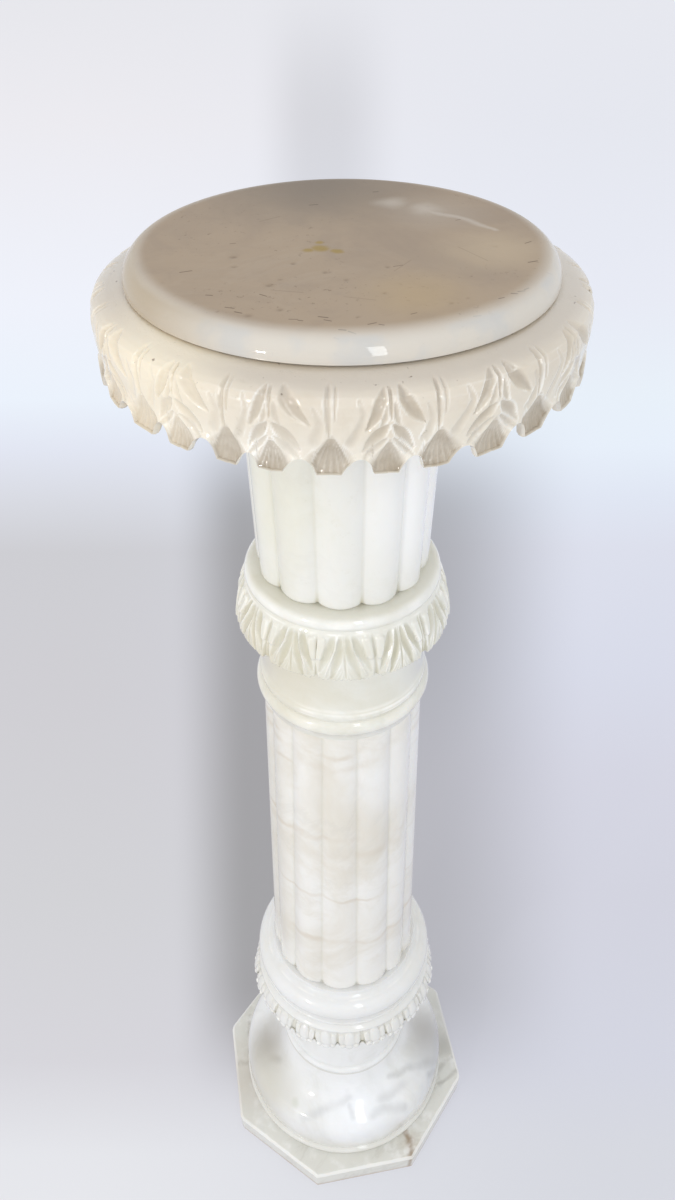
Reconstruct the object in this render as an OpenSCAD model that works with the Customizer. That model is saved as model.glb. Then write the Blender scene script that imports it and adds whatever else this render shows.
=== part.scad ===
// Carved alabaster column pedestal: eight stacked stones, round disc top on a
// leaf-carved capital, two reeded drums, two leaf collars, a domed foot and an
// octagonal plinth. Millimetres, +Z up, centre of the plinth's underside at 0.

/* [Plinth] */
// Width of the octagonal slab between opposite flats
plinth_flats = 261; // [200:1:320]
// Height of the octagonal slab
plinth_height = 24; // [16:1:40]
// Width of the worked edge round the slab's top
plinth_chamfer = 3.5; // [1:0.5:8]

/* [Domed foot] */
// Radius of the bead round the bottom of the dome
foot_rim_radius = 115; // [95:1:122]
// Height of the foot from the slab to its seat
foot_height = 210; // [160:1:260]
// Radius of the seat at the top of the foot's neck
foot_seat_radius = 64; // [58:1:76]
// Radius of the waist of the foot's neck
foot_waist_radius = 60; // [52:1:66]
// Height of the low dome, up to the ring at the bottom of the neck
dome_height = 93; // [70:1:130]

/* [Foot collar] */
// Height of the collar between the dome and the lower drum
foot_collar_height = 72; // [60:1:84]
// Radius over the leaf fringe
fringe_radius = 94.5; // [88:0.5:104]
// Number of lobes round the fringe
fringe_lobes = 24; // [16:1:30]

/* [Lower drum] */
// Length of the lower reeded drum
lower_length = 355; // [260:1:460]
// Radius over the reeds at the foot of the lower drum
lower_foot_radius = 69; // [62:0.5:72]
// Radius over the reeds at the head of the lower drum
lower_head_radius = 61; // [54:0.5:62]
// Number of reeds round the lower drum
lower_reeds = 14; // [10:1:18]

/* [Leaf collar] */
// Height of the collar between the two drums
collar_height = 122; // [106:1:140]
// Radius over the leaves
collar_radius = 77; // [74:0.5:86]
// Number of leaves round the collar
collar_leaves = 12; // [8:1:16]

/* [Upper drum] */
// Length of the upper reeded drum
upper_length = 159; // [120:1:260]
// Radius over the reeds at the foot of the upper drum
upper_foot_radius = 59.5; // [52:0.5:61]
// Radius over the reeds at the head of the upper drum
upper_head_radius = 63.5; // [54:0.5:68]
// Number of reeds round the upper drum
upper_reeds = 12; // [10:1:18]

/* [Leaf capital] */
// Height of the capital from its seat to the joint under the disc
capital_height = 43; // [36:1:56]
// Radius over the leaves
capital_radius = 140; // [126:0.5:150]
// Number of broad leaves, with as many narrow stalks between them
capital_leaves = 15; // [10:1:18]
// How far the leaf tips hang below the capital's seat
capital_drop = 4; // [0:0.5:8]

/* [Top disc] */
// Radius of the disc
disc_radius = 120; // [104:0.5:122]
// Thickness of the disc
disc_thickness = 15; // [13.5:0.5:24]

/* [Hidden] */

// Levels of the joints, from the floor up
z_foot = plinth_height;
z_fringe = z_foot + foot_height;
z_lower = z_fringe + foot_collar_height;
z_collar = z_lower + lower_length;
z_upper = z_collar + collar_height;
z_capital = z_upper + upper_length;
z_disc = z_capital + capital_height;

// Turns of the carved rings about the axis, in degrees
lower_turn = 12.9;
upper_turn = 2.1;
collar_turn = 21.6;
fringe_turn = 8.6;
capital_turn = -91.2;

// Points of a cubic curve between a and d, with handles b and c
function bez(a, b, c, d, n = 8) = [for (i = [0:n]) let (t = i / n, s = 1 - t)
  s*s*s*a + 3*s*s*t*b + 3*s*t*t*c + t*t*t*d];
// Points of an arc about c with radius r, from angle a0 to a1
function arc(c, r, a0, a1, n = 8) = [for (i = [0:n]) let (a = a0 + (a1 - a0)*i/n)
  [c[0] + r*cos(a), c[1] + r*sin(a)]];

// Solid of revolution from the points of one outer line, bottom to top
module turned(line, z0, z1) {
  rotate_extrude($fn = 96)
    polygon(concat([[0, z0]], line, [[0, z1]]));
}

// Straight prism on a flat outline, pointing out from the axis between two radii
module outward(angle, r0, r1) {
  rotate([0, 0, angle])
    translate([r0, 0, 0])
      rotate([90, 0, 90])
        linear_extrude(height = r1 - r0)
          children();
}

// Reeded drum: convex reeds meeting in sharp valleys, ends rounded over
module reeded(length, r_foot, r_head, count, round_foot, round_head) {
  half = 180 / count;
  bulge = 0.36;
  lean = atan((r_foot - r_head) * (1 - bulge) / length);
  over = 6;
  intersection() {
    turned(concat(
      arc([r_foot - round_foot, round_foot], round_foot, -90, 0, 6),
      arc([r_head - round_head, length - round_head], round_head, 0, 90, 4)),
      0, length);
    union() {
      translate([0, 0, -1])
        cylinder(h = length + 2, r1 = r_foot * 0.86, r2 = r_head * 0.86, $fn = 96);
      for (k = [0 : count - 1])
        rotate([0, 0, (k + 0.5) * 2 * half])
          translate([r_foot * (1 - bulge), 0, 0])
            rotate([0, -lean, 0])
              translate([0, 0, -over])
                cylinder(h = length + 2 * over,
                         r1 = r_foot * bulge + over * (r_foot - r_head) * bulge / length,
                         r2 = r_head * bulge - over * (r_foot - r_head) * bulge / length,
                         $fn = 48);
    }
  }
}

// Octagonal slab with a worked edge round its top
module plinth() {
  color([0.92, 0.91, 0.88])
    difference() {
      rotate([0, 0, 22.5])
        cylinder(h = plinth_height, r = plinth_flats / 2 / cos(22.5), $fn = 8);
      for (k = [0:7])
        rotate([0, 0, k * 45])
          translate([plinth_flats / 2, 0, plinth_height])
            rotate([0, 45, 0])
              cube([plinth_chamfer * sqrt(2), plinth_flats, plinth_chamfer * sqrt(2)],
                   center = true);
    }
}

// Turned foot: low dome on a bead, a ring, and a waisted neck up to the seat
module domed_foot() {
  r = foot_rim_radius;
  s = foot_seat_radius;
  w = foot_waist_radius;
  h = foot_height;
  d = dome_height;
  color([0.93, 0.93, 0.92])
    translate([0, 0, z_foot])
      turned(concat(
        [[r - 3, 0]],
        arc([r - 4, 4], 4, -60, 75, 8),
        [[r - 4.4, 8.6]],
        bez([r - 3.2, 10], [r - 0.4, 24], [r - 0.2, 0.45 * d], [r - 6.6, 0.54 * d], 10),
        bez([r - 8, 0.56 * d], [r - 14, 0.645 * d], [w + 16, 0.667 * d], [w + 8, d], 10),
        [[w + 7.2, d + 0.8]],
        arc([w + 3.2, d + 5], 5, -50, 70, 6),
        [[w + 3.6, d + 10]],
        bez([w + 3, d + 11], [w + 0.5, d + 24], [w - 1, h - 44], [s, h], 10)),
        0, h);
}

// Cushion moulding with two fillets over a fringe of hanging leaf lobes
module foot_collar() {
  h = foot_collar_height;
  f = fringe_radius;
  t = lower_foot_radius;
  pitch = 360 / fringe_lobes;
  lip = 3.5;
  color([0.94, 0.93, 0.90])
    translate([0, 0, z_fringe]) {
      difference() {
        turned(concat(
          [[foot_seat_radius + 1, 0], [foot_seat_radius + 5, 8], [f - 5, lip], [f - 1.5, 0]],
          bez([f - 0.8, 1], [f + 0.6, 9], [f - 2, 20], [f - 7, 27], 6),
          [[f - 10.5, 29.5], [f - 12, 30]],
          arc([f - 13, 32.5], 2, -50, 60, 3),
          arc([t + 4.5, 53], 13, -50, 78, 12),
          [[t + 2.5, h - 4], [t + 1.5, h]]),
          0, h);
        // arches between the hanging lobes
        for (k = [0 : fringe_lobes - 1])
          outward(fringe_turn + (k + 0.5) * pitch, f - 9, f + 9)
            translate([0, -1])
              circle(r = 5.2, $fn = 24);
        // drilled eyes under the moulding
        for (k = [0 : fringe_lobes - 1])
          rotate([0, 0, fringe_turn + (k + 0.5) * pitch])
            translate([f + 0.5, 0, 14])
              sphere(r = 4.2, $fn = 24);
        // twin furrows down every lobe
        for (k = [0 : fringe_lobes - 1], s = [-1, 1])
          rotate([0, 0, fringe_turn + (k + 0.17 * s) * pitch])
            translate([f + 1.2, 0, -2])
              rotate([0, -8, 0])
                cylinder(h = 25, r = 1.7, $fn = 16);
      }
    }
}

// Lower drum, widening a little towards its foot
module lower_drum() {
  color([0.95, 0.93, 0.90])
    translate([0, 0, z_lower])
      rotate([0, 0, lower_turn])
        reeded(lower_length, lower_foot_radius, lower_head_radius, lower_reeds, 5, 1.5);
}

// One leaf of the collar seen flat: toothed sides, point hanging down
function leaf_half(w, h, n) = [for (i = [0:n]) let (t = i / n)
  [w * pow(sin(180 * pow(t, 0.8) * 0.94 + 8), 0.7) * (1 + (i % 2 == 0 ? 0.10 : -0.08)),
   h * (1 - t)]];
module leaf_flat(w, h, n = 9) {
  half = leaf_half(w, h, n);
  polygon(concat(half, [for (i = [n : -1 : 0]) [-half[i][0], half[i][1]]]));
}

// Collar of overhanging leaves above a plain hollow neck and a round moulding
module leaf_collar() {
  h = collar_height;
  c = collar_radius;
  b = lower_head_radius;
  u = upper_foot_radius;
  pitch = 360 / collar_leaves;
  tip = 0.615 * h;
  color([0.93, 0.92, 0.87])
    translate([0, 0, z_collar]) {
      difference() {
        union() {
          turned(concat(
            [[b + 1, 0]],
            arc([b - 3.5, 12.5], 8.6, -62, 62, 10),
            [[b + 1.6, 21.5], [b + 1.8, 25], [b + 1.2, 28], [b, 28.5]],
            bez([b - 0.6, 30], [b - 3, 44], [b - 2, 62], [b + 1, tip + 4], 8),
            [[c - 7, tip + 1.5], [c - 2.6, tip]],
            bez([c - 1.8, tip + 1], [c - 1.2, tip + 12], [c - 4, 0.80 * h], [c - 9.5, 0.905 * h], 8),
            [[c - 9.8, 0.915 * h]],
            arc([u + 3.2, h - 6], 6, -8, 90, 7)),
            0, h);
          // leaves standing proud of the bulge
          intersection() {
            turned(concat(
              [[c - 12, tip]],
              bez([c - 0.2, tip + 0.2], [c + 0.8, tip + 12], [c - 2.2, 0.80 * h], [c - 8, 0.90 * h], 8),
              [[c - 12, 0.91 * h]]),
              tip - 1, 0.91 * h);
            union() {
              for (k = [0 : collar_leaves - 1])
                outward(collar_turn + k * pitch, c - 16, c + 9)
                  translate([0, tip - 4])
                    leaf_flat(c * 0.215, 0.30 * h + 4);
            }
          }
        }
        // notch between neighbouring leaves
        for (k = [0 : collar_leaves - 1])
          outward(collar_turn + (k + 0.5) * pitch, c - 5, c + 9)
            translate([0, tip - 1])
              circle(r = 3.2, $fn = 20);
        // midrib channels and side veins
        for (k = [0 : collar_leaves - 1], s = [-1, 1])
          rotate([0, 0, collar_turn + (k + 0.075 * s) * pitch])
            translate([c + 1.3, 0, tip - 3])
              rotate([0, -10, 0])
                cylinder(h = 34, r = 1.3, $fn = 12);
        for (k = [0 : collar_leaves - 1], s = [-1, 1], j = [0 : 1])
          rotate([0, 0, collar_turn + (k + s * 0.26) * pitch])
            translate([c + 0.6 - 0.9 * j, 0, tip + 6 + 10 * j])
              rotate([s * -32, -6 - 6 * j, 0])
                translate([0, 0, -7])
                  cylinder(h = 15, r = 1.2, $fn = 12);
      }
    }
}

// Upper drum, a little wider at its head
module upper_drum() {
  color([0.95, 0.94, 0.91])
    translate([0, 0, z_upper])
      rotate([0, 0, upper_turn])
        reeded(upper_length, upper_foot_radius, upper_head_radius, upper_reeds, 4, 1.5);
}

// Broad leaf of the capital seen flat: swelling side lobes over a spread tip
module broad_leaf(w, h) {
  polygon([
    [0, h], [0.16 * w, 0.93 * h], [0.46 * w, 0.86 * h], [0.56 * w, 0.72 * h],
    [0.47 * w, 0.60 * h], [0.60 * w, 0.52 * h], [0.50 * w, 0.38 * h], [0.34 * w, 0.30 * h],
    [0.46 * w, 0.10 * h], [0.40 * w, 0], [-0.40 * w, 0], [-0.46 * w, 0.10 * h],
    [-0.34 * w, 0.30 * h], [-0.50 * w, 0.38 * h], [-0.60 * w, 0.52 * h],
    [-0.47 * w, 0.60 * h], [-0.56 * w, 0.72 * h], [-0.46 * w, 0.86 * h],
    [-0.16 * w, 0.93 * h]]);
}

// Deep ring of hanging leaves and stalks, hollowed beneath, with a plain band on top
module leaf_capital() {
  h = capital_height;
  d = capital_drop;
  c = capital_radius;
  pitch = 360 / capital_leaves;
  wide = 2 * 3.14159 * c / capital_leaves;
  color([0.86, 0.80, 0.70])
    translate([0, 0, z_capital]) {
      difference() {
        union() {
          turned(concat(
            [[c - 4.2, -d]],
            bez([c - 3.4, -d + 1], [c - 4, 8], [c - 3.4, 20], [c - 2.8, 28], 6),
            bez([c - 2.8, 30], [c - 3.2, 35], [c - 6, h - 5], [c - 11, h - 3.4], 6),
            [[c - 16, h - 2], [disc_radius - 1, h]]),
            -d, h);
          // broad leaves in relief
          intersection() {
            turned(concat(
              [[c - 7, -d]],
              bez([c - 1, -d], [c - 2.6, 8], [c - 1.2, 20], [c - 0.2, 27], 6),
              bez([c - 0.4, 30], [c - 1, 35.5], [c - 5, h - 4], [c - 10, h - 3], 6),
              [[c - 14, h - 4]]),
              -d - 1, h - 4);
            union() {
              for (k = [0 : capital_leaves - 1])
                outward(capital_turn + k * pitch, c - 14, c + 6)
                  translate([0, -d - 1])
                    broad_leaf(wide * 0.52, h + d - 3);
            }
          }
          // narrow stalks, each spreading into a fan at its tip
          intersection() {
            turned(concat(
              [[c - 7, -d]],
              bez([c + 0.0, -d], [c - 2.4, 6], [c - 1.4, 18], [c - 1.2, 27], 6),
              bez([c - 1.2, 30], [c - 1.8, 35.5], [c - 6, h - 4], [c - 10.6, h - 3.4], 6),
              [[c - 14, h - 4]]),
              -d - 1, h - 4);
            union() {
              for (k = [0 : capital_leaves - 1])
                outward(capital_turn + (k + 0.5) * pitch, c - 14, c + 6)
                  translate([0, -d - 1])
                    polygon([
                      [-0.15 * wide, 0], [-0.16 * wide, 6], [-0.055 * wide, 17],
                      [-0.06 * wide, h + d - 2], [0.06 * wide, h + d - 2],
                      [0.055 * wide, 17], [0.16 * wide, 6], [0.15 * wide, 0]]);
            }
          }
        }
        // hollow under the leaves, round the plain seat on the drum
        turned([[c - 5.6, -d - 2], [c - 6.5, -d + 1.5], [c - 8, 3], [c - 12, 8],
                [c - 22, 6], [c - 34, 2], [upper_head_radius + 10, 0]],
               -d - 2, 0);
        // arches between neighbouring tips
        for (k = [0 : 2 * capital_leaves - 1])
          outward(capital_turn + (k + 0.5) * pitch / 2, c - 12, c + 8) {
            translate([0, 0.4])
              circle(r = 6.5, $fn = 24);
            translate([-6.5, -d - 3])
              square([13, d + 3.4]);
          }
        // hollow in each side lobe of the leaves
        for (k = [0 : capital_leaves - 1], s = [-1, 1])
          rotate([0, 0, capital_turn + (k + s * 0.155) * pitch])
            translate([c + 4.2, 0, h * 0.60])
              sphere(r = 6.6, $fn = 32);
        // twin channels beside each midrib
        for (k = [0 : capital_leaves - 1], s = [-1, 1])
          rotate([0, 0, capital_turn + (k + s * 0.035) * pitch])
            translate([c + 0.2, 0, 2])
              cylinder(h = h - 7, r = 1.2, $fn = 12);
      }
    }
}

// Round disc with a full rounded edge
module top_disc() {
  r = disc_radius;
  t = disc_thickness;
  a = min(13, t - 1);
  color([0.88, 0.85, 0.80])
    translate([0, 0, z_disc])
      turned(concat(
        [[r - 2.2, 0]],
        arc([r - a, t - a], a, -6, 90, 12)),
        0, t);
}

plinth();
domed_foot();
foot_collar();
lower_drum();
leaf_collar();
upper_drum();
leaf_capital();
top_disc();
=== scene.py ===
"""Carved alabaster column pedestal: round disc top, leaf-carved capital, two reeded
drums, two leaf collars, low domed foot and octagonal plinth, on a plain pale floor."""

from __future__ import annotations

import logging
import math
from dataclasses import dataclass, field
from enum import Enum
from functools import reduce
from typing import Sequence

import bpy
import numpy as np
from mathutils import Matrix, Vector


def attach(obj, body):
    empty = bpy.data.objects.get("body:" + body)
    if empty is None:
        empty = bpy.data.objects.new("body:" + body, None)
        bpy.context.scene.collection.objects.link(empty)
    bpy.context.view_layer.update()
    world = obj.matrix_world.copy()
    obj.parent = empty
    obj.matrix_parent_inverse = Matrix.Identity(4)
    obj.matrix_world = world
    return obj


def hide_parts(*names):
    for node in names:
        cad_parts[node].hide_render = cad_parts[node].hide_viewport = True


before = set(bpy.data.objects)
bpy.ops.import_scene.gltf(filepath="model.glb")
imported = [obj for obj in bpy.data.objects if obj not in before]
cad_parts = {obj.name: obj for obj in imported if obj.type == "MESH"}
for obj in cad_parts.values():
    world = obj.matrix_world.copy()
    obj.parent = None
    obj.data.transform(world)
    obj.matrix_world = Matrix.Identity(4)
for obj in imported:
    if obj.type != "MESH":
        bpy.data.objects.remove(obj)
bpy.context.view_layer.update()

MM = 0.001
VIEW_TURN = 9.94  # degrees from the camera's own axes to the plinth's flats
FRONT = -90.0 - VIEW_TURN  # direction from the column to the camera, in degrees
Point = tuple[float, float]
Triple = tuple[float, float, float]
Socket = bpy.types.NodeSocket
log = logging.getLogger("pedestal")


# ------------------------------------------------------------------ outlines
def bez(a: Point, b: Point, c: Point, d: Point, n: int = 16) -> list[Point]:
    """Points of a cubic curve.

    Args:
        a: First end.
        b: Handle of the first end.
        c: Handle of the second end.
        d: Second end.
        n: Number of steps.

    Returns:
        n + 1 points from a to d.
    """
    out = []
    for i in range(n + 1):
        t = i / n
        w = ((1 - t) ** 3, 3 * t * (1 - t) ** 2, 3 * t * t * (1 - t), t**3)
        out.append(tuple(sum(k * p[j] for k, p in zip(w, (a, b, c, d))) for j in (0, 1)))
    return out


def arc(centre: Point, radius: float, start: float, end: float, n: int = 16) -> list[Point]:
    """Points of an arc.

    Args:
        centre: Its centre.
        radius: Its radius.
        start: First angle, in degrees.
        end: Last angle, in degrees.
        n: Number of steps.

    Returns:
        n + 1 points from start to end.
    """
    angles = [math.radians(start + (end - start) * i / n) for i in range(n + 1)]
    return [(centre[0] + radius * math.cos(a), centre[1] + radius * math.sin(a)) for a in angles]


def spaced(points: Sequence[Point], count: int) -> np.ndarray:
    """Evenly spaced points along a line.

    Args:
        points: Corners of the line.
        count: How many points are wanted.

    Returns:
        Array of count rows of radius and height.
    """
    p = np.asarray(points, dtype=float)
    walk = np.concatenate([[0.0], np.cumsum(np.hypot(*np.diff(p, axis=0).T))])
    at = np.linspace(0.0, walk[-1], count)
    return np.column_stack([np.interp(at, walk, p[:, 0]), np.interp(at, walk, p[:, 1])])


def outline(*sections: tuple[Sequence[Point], int]) -> np.ndarray:
    """One outline from sections, each with its own number of rows.

    Args:
        sections: Pairs of corner points and rows; each section starts where the last ended.

    Returns:
        Array of radius and height, from the axis at the bottom to the axis at the top.
    """
    rows = []
    for points, count in sections:
        part = spaced(points, count)
        rows.append(part if not rows else part[1:])
    return np.vstack(rows)


def smooth(a: float, b: float, v: np.ndarray) -> np.ndarray:
    """Soft step of a value.

    Args:
        a: Where it starts from 0.
        b: Where it reaches 1.
        v: The values.

    Returns:
        The step at each value.
    """
    t = np.clip((v - a) / (b - a), 0.0, 1.0)
    return t * t * (3 - 2 * t)


# ------------------------------------------------------------------- carving
class Cut(Enum):
    """Kind of a chisel stroke: keen gouge, soft scoop, pointed lens or round rib."""

    GOUGE = "gouge"
    SCOOP = "scoop"
    LENS = "lens"
    RIB = "rib"


@dataclass(frozen=True)
class Stroke:
    """One chisel stroke on an unrolled surface, in millimetres across and up."""

    path: tuple[Point, ...]
    width: float
    height: float
    grow: float = 1.0
    cut: Cut = Cut.GOUGE
    mirror: bool = True

    def relief(self, x: np.ndarray, z: np.ndarray) -> np.ndarray:
        """Height of the stroke over the surface.

        Args:
            x: Places across, in millimetres.
            z: Places up, in millimetres.

        Returns:
            The height in millimetres, negative in a hollow.
        """
        q, share = self._near(x, z)
        if self.mirror:
            other, share_other = self._near(-x, z)
            share = np.where(other < q, share_other, share)
            q = np.minimum(q, other)
        q = np.clip(q, 0.0, 1.0)
        power = {Cut.GOUGE: 1.0, Cut.SCOOP: 1.5, Cut.LENS: 0.9, Cut.RIB: 0.5}[self.cut]
        return self.height * (1 - q * q)**power * share**0.6

    def _near(self, x: np.ndarray, z: np.ndarray) -> tuple[np.ndarray, np.ndarray]:
        """How near each place is to the stroke.

        Args:
            x: Places across, in millimetres.
            z: Places up, in millimetres.

        Returns:
            Distance as a share of the half width there, and that width as a share of the
            widest.
        """
        p = np.asarray(self.path)
        lengths = np.hypot(*np.diff(p, axis=0).T)
        total, walked = lengths.sum(), 0.0
        best, share = np.full(x.shape, 9.0), np.ones(x.shape)
        widest = max(1.0, self.grow)
        for (ax, az), (bx, bz), length in zip(p[:-1], p[1:], lengths):
            t = ((x - ax) * (bx - ax) + (z - az) * (bz - az)) / length**2
            t = np.clip(t, 0.0, 1.0)
            d = np.hypot(x - ax - t * (bx - ax), z - az - t * (bz - az))
            along = (walked + t * length) / total
            if self.cut is Cut.LENS:
                along = np.sin(np.pi * along**0.85)
            wide = 1 + (self.grow - 1) * along
            q = d / (self.width * wide)
            share = np.where(q < best, wide / widest, share)
            best = np.minimum(best, q)
            walked += length
        return best, share


def carve(strokes: Sequence[Stroke], x: np.ndarray,
          z: np.ndarray) -> tuple[np.ndarray, np.ndarray]:
    """Adds strokes together: the tallest ridge and the deepest hollow at each place.

    Args:
        strokes: The strokes.
        x: Places across, in millimetres.
        z: Places up, in millimetres.

    Returns:
        The raised relief and the depth of the hollows, both in millimetres.
    """
    ridge, hollow = np.zeros(x.shape), np.zeros(x.shape)
    for s in strokes:
        h = s.relief(x, z)
        if s.height > 0:
            ridge = np.maximum(ridge, h)
        else:
            hollow = np.maximum(hollow, -h)
    return ridge, hollow


def flutes(apex: Point, foot: float, half: float, count: int, depth: float) -> list[Stroke]:
    """Gouges that spread like a fan from one point.

    Args:
        apex: Where they start.
        foot: Height of their lower ends.
        half: Half of the fan's width at the bottom.
        count: How many there are.
        depth: Their depth.

    Returns:
        One gouge for each flute.
    """
    wide = half / count
    ends = [(-half + wide) + 2 * wide * i for i in range(count)]
    return [Stroke(((apex[0] + e * 0.12, apex[1]), (e, foot)), wide * 0.32, -depth, 3.2,
                   mirror=False) for e in ends]


@dataclass(frozen=True)
class Handwork:
    """Small strays from one carved unit to the next."""

    count: int
    seed: int
    slide: float = 0.6
    skew: float = 0.05
    gain: float = 0.14
    stretch: float = 0.05
    climb: float = 0.7
    pivot: float = 20.0

    def apply(self, number: np.ndarray, x: np.ndarray, z: np.ndarray) -> tuple[np.ndarray, ...]:
        """Moves the places and changes the depth by each unit's own strays.

        Args:
            number: The unit that each place belongs to.
            x: Places across, in millimetres.
            z: Places up, in millimetres.

        Returns:
            The moved places across and up, and what the depth is multiplied by.
        """
        rng = np.random.default_rng(self.seed)
        n = np.mod(number, self.count).astype(int)
        dx, dz, lean, deep = (rng.uniform(-1, 1, self.count) for _ in range(4))
        skewed = self.skew * lean[n] * (z - self.pivot)
        moved = x * (1 + self.stretch * dz[n]) + self.slide * dx[n] + skewed
        return moved, z + self.climb * self.slide * dz[n], 1 + self.gain * deep[n]


def waver(theta: np.ndarray, z: np.ndarray, seed: int, size: float) -> np.ndarray:
    """Slow uneven wave round a ring, as handwork leaves.

    Args:
        theta: Angles, in radians.
        z: Heights, in millimetres.
        seed: Seed of the wave.
        size: Its size.

    Returns:
        The wave at each place.
    """
    rng = np.random.default_rng(seed)
    total = np.zeros(np.broadcast(theta, z).shape)
    for turns in (3, 5, 8, 13):
        a, b, c = rng.uniform(-1, 1, 3)
        total = total + a * np.sin(turns * theta + 6 * b + z * 0.05 * c) / (turns**0.5)
    return size * total


# ------------------------------------------------------------------- stones
@dataclass
class Surface:
    """State of every vertex of a turned grid while it is being carved, in millimetres."""

    theta: np.ndarray
    radius: np.ndarray
    height: np.ndarray
    out_r: np.ndarray
    out_z: np.ndarray
    row: np.ndarray
    run: np.ndarray
    hollow: np.ndarray

    def push(self, amount: np.ndarray) -> None:
        """Moves the surface along its own slope, by millimetres."""
        self.radius = self.radius + amount * self.out_r
        self.height = self.height + amount * self.out_z


@dataclass
class Stone:
    """A stone of the column: a turned outline, carved, dressed and put on the body."""

    name: str
    node: str
    slot: str
    columns: int
    rows: np.ndarray
    sharp: float = 50.0
    keen: float = 0.0

    def shape(self, s: Surface) -> None:
        """Carves the surface; a plain turned stone leaves it as it is."""

    def _ridges(self, s: Surface, col: np.ndarray) -> np.ndarray:
        """How keenly the surface peaks at each place, from its neighbours' radii.

        Args:
            s: The carved surface.
            col: Each vertex's column.

        Returns:
            0 on plain stone to 1 on a keen ridge.
        """
        if self.keen <= 0:
            return np.zeros(len(col))
        deep = np.zeros((len(self.rows), self.columns))
        deep[s.row, col] = s.radius
        near = (np.roll(deep, 1, 1) + np.roll(deep, -1, 1)) / 2
        high = (np.roll(deep, 1, 0) + np.roll(deep, -1, 0)) / 2
        peak = np.maximum(deep - near, 0.6 * (deep - high) * (np.abs(deep - high) < 0.4))
        clean = 1 - 0.8 * np.clip(s.hollow, 0, 1)
        return np.clip(peak / self.keen - 0.25, 0, 1)[s.row, col] * clean

    def build(self, material: bpy.types.Material) -> bpy.types.Object:
        """Makes the stone's mesh and gives it its finish.

        Args:
            material: The stone's finish.

        Returns:
            The finished object, riding on the one body in place of its node.
        """
        bpy.ops.object.select_all(action="DESELECT")
        count = len(self.rows)
        bpy.ops.mesh.primitive_grid_add(
            x_subdivisions=self.columns, y_subdivisions=count - 1, size=1.0
        )
        obj = bpy.context.object
        obj.name = obj.data.name = self.name
        flat = np.empty(len(obj.data.vertices) * 3)
        obj.data.vertices.foreach_get("co", flat)
        flat = flat.reshape(-1, 3)
        col = np.rint((flat[:, 0] + 0.5) * self.columns).astype(int) % self.columns
        row = np.rint((flat[:, 1] + 0.5) * (count - 1)).astype(int)
        slope = np.gradient(self.rows, axis=0)
        size = np.maximum(np.hypot(slope[:, 0], slope[:, 1]), 1e-9)
        s = Surface(
            theta=2 * np.pi * col / self.columns,
            radius=self.rows[row, 0],
            height=self.rows[row, 1],
            out_r=(slope[:, 1] / size)[row],
            out_z=(-slope[:, 0] / size)[row],
            row=row,
            run=np.concatenate([[0.0], np.cumsum(np.hypot(*np.diff(self.rows, axis=0).T))])[row],
            hollow=np.zeros(len(row)),
        )
        self.shape(s)
        place = np.column_stack(
            [s.radius * np.cos(s.theta), s.radius * np.sin(s.theta), s.height]
        )
        obj.data.vertices.foreach_set("co", (place * MM).ravel())
        # The hollow mask carries dirt and painted shade, the ridge mask painted highlights.
        for name, values in (("hollow", s.hollow), ("ridge", self._ridges(s, col))):
            layer = obj.data.attributes.new(name, "FLOAT", "POINT")
            layer.data.foreach_set("value", np.clip(values, 0, 1).astype(np.float32))
        bpy.ops.object.mode_set(mode="EDIT")
        bpy.ops.mesh.select_all(action="SELECT")
        bpy.ops.mesh.remove_doubles(threshold=1e-6)
        bpy.ops.mesh.normals_make_consistent(inside=False)
        bpy.ops.object.mode_set(mode="OBJECT")
        bpy.ops.object.shade_smooth_by_angle(angle=math.radians(self.sharp))
        obj.data.materials.append(material)
        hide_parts(self.node)
        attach(obj, "root")
        return obj


@dataclass
class ReededDrum(Stone):
    """A drum of convex reeds that meet in sharp valleys and end in round tongues."""

    reeds: int = 14
    foot: float = 306.0
    head: float = 661.0
    foot_radius: float = 69.0
    head_radius: float = 61.0
    bulge: float = 0.36
    tongue: float = 9.0
    taper: float = 0.34
    groove: float = 0.055
    dust_and_shade_height: float = 14.0
    valleys_head: tuple[float, ...] = ()
    valleys_foot: tuple[float, ...] = ()

    def shape(self, s: Surface) -> None:
        """Presses the valleys into the drum and rounds the reeds' lower ends.

        Args:
            s: The surface.
        """
        up = np.clip((s.height - self.foot) / (self.head - self.foot), 0, 1)
        full = self.foot_radius + (self.head_radius - self.foot_radius) * up
        low, high = np.radians(self.valleys_foot), np.radians(self.valleys_head)
        share = np.zeros(s.theta.shape)
        for k in range(self.reeds):
            a = low[k] + (high[k] - low[k]) * up
            nxt = (k + 1) % self.reeds
            b = low[nxt] + (high[nxt] - low[nxt]) * up
            span = (b - a) % (2 * np.pi)
            part = ((s.theta - a) % (2 * np.pi)) / span
            share = np.where(part < 1, part * 2 - 1, share)
        near_end = np.clip((s.height - self.foot) / self.tongue, 0, 1)
        wide = 1 - self.taper * (1 - np.sqrt(1 - (1 - near_end) ** 2))
        half = np.pi / self.reeds
        x = np.clip(np.abs(share) / wide, 0, 1) * half
        centre = 1 - self.bulge
        lobe = centre * np.cos(x) + np.sqrt(self.bulge**2 - (centre * np.sin(x)) ** 2)
        valley = centre * np.cos(half) + np.sqrt(self.bulge**2 - (centre * np.sin(half)) ** 2)
        beyond = np.clip((np.abs(share) - wide) / 0.12, 0, 1)
        factor = np.where(np.abs(share) > wide, valley - self.groove * beyond, lobe)
        on_wall = smooth(0.86, 0.93, s.radius / full)
        s.radius = s.radius * (1 + (factor - 1) * on_wall)
        # The hollow mask darkens the valleys and the reeds' lower ends: dirt and painted shade.
        deep = np.clip((1 - factor) / (1 - valley), 0, 1)
        notch = np.clip(1 - (s.height - self.foot) / self.dust_and_shade_height, 0, 1)
        s.hollow = on_wall * np.clip(smooth(0.75, 1.0, deep) * (0.25 + notch), 0, 1)


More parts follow.
